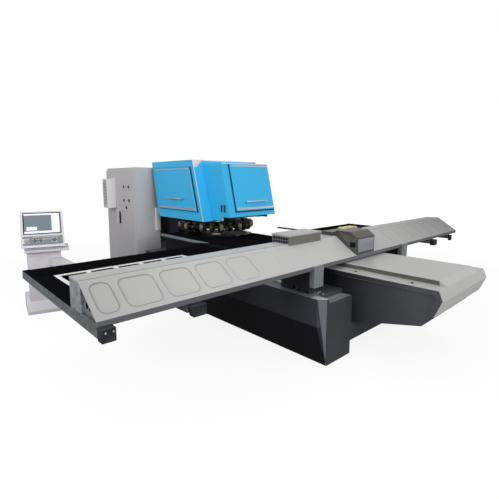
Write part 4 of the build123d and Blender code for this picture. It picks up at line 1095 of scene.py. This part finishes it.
class PRESS_OT_stage(Operator):
    """Set the floor, the soft light and the camera"""

    bl_idname = "press.stage"
    bl_label = "Stage"

    def execute(self, context):
        scene = context.scene
        scene.view_settings.view_transform = "Standard"
        bpy.ops.mesh.primitive_plane_add(size=60, location=(0, 0, -0.002))
        floor = context.object
        floor.name = "Floor"
        material, tree, shader, place = start("White studio floor", roughness=0.9, shine=0.0)
        shader.inputs["Base Color"].default_value = (0.16, 0.16, 0.16, 1)
        away = add_node(tree, "ShaderNodeVectorMath", {0: place}, operation="LENGTH")
        fade = remap(tree, away.outputs["Value"], 5, 11, to_low=0.86)
        seen = add_node(tree, "ShaderNodeLightPath").outputs["Is Camera Ray"]
        strength = calc(tree, "MULTIPLY", seen, fade)
        glow = add_node(tree, "ShaderNodeEmission", {"Strength": strength}).outputs[0]
        both = add_node(tree, "ShaderNodeAddShader", {0: shader.outputs[0], 1: glow})
        tree.links.new(both.outputs[0], tree.nodes["Material Output"].inputs["Surface"])
        floor.data.materials.append(material)

        world = bpy.data.worlds.new("Studio")
        scene.world = world
        world.use_nodes = True
        tree = world.node_tree
        tree.nodes.clear()
        path = add_node(tree, "ShaderNodeLightPath").outputs
        some = calc(tree, "ADD", path["Is Camera Ray"], path["Is Glossy Ray"])
        shown = calc(tree, "ADD", some, path["Is Transmission Ray"])
        inputs = {"Color": (1, 1, 1, 1), "Strength": remap(tree, shown, 0, 1, to_low=0.5)}
        white = add_node(tree, "ShaderNodeBackground", inputs)
        add_node(tree, "ShaderNodeOutputWorld", {"Surface": white.outputs[0]})

        for name, spot, aim, size, power in (
            ("Front light", (-2, -20, 7), (0, 0, 1), 9, 2000),
            ("Side light", (-8.5, -1.5, 4), (0, 0, 1), 5, 360),
            ("Top light", (-0.5, -1, 8.5), (-0.5, -1, 0), 8, 110),
        ):
            way = Vector(aim) - Vector(spot)
            bpy.ops.object.light_add(type="AREA", location=spot)
            lamp = context.object
            lamp.name = name
            lamp.data.size = size
            lamp.data.energy = power
            lamp.rotation_euler = way.to_track_quat("-Z", "Y").to_euler()

        bpy.ops.object.camera_add(location=(-3.78, -4.33, 1.7546))
        camera = context.object
        camera.rotation_euler = (math.radians(90 - 7.189), 0, math.radians(-42.877))
        camera.data.sensor_width = 36
        camera.data.lens = 26.84
        camera.data.shift_y = -0.0465
        scene.camera = camera
        return {"FINISHED"}


class PRESS_PT_panel(Panel):
    """Lists the steps that dress the press"""

    bl_label = "Turret Punch Press"
    bl_idname = "PRESS_PT_panel"
    bl_space_type = "VIEW_3D"
    bl_region_type = "UI"
    bl_category = "Press"

    def draw(self, context):
        for step in steps:
            self.layout.operator(step.bl_idname)


steps = (
    PRESS_OT_finishes,
    PRESS_OT_edges,
    PRESS_OT_hood_highlights,
    PRESS_OT_hatch_shadows,
    PRESS_OT_hatch_trims,
    PRESS_OT_hood_switch,
    PRESS_OT_cabinet_fittings,
    PRESS_OT_console_front,
    PRESS_OT_tool_rings,
    PRESS_OT_tufts,
    PRESS_OT_bolts,
    PRESS_OT_panel_beads,
    PRESS_OT_beam_boxes,
    PRESS_OT_bed_fittings,
    PRESS_OT_rear_panel,
    PRESS_OT_stage,
)
classes = (PressFinishes, PressSizes, *steps, PRESS_PT_panel)


def register():
    for made in classes:
        bpy.utils.register_class(made)
    bpy.types.Scene.press_finishes = bpy.props.PointerProperty(type=PressFinishes)
    bpy.types.Scene.press_sizes = bpy.props.PointerProperty(type=PressSizes)


def unregister():
    del bpy.types.Scene.press_sizes
    del bpy.types.Scene.press_finishes
    for made in reversed(classes):
        bpy.utils.unregister_class(made)


def main():
    register()
    for step in steps:
        group, name = step.bl_idname.split(".")
        getattr(getattr(bpy.ops, group), name)()


if __name__ == "__main__":
    main()
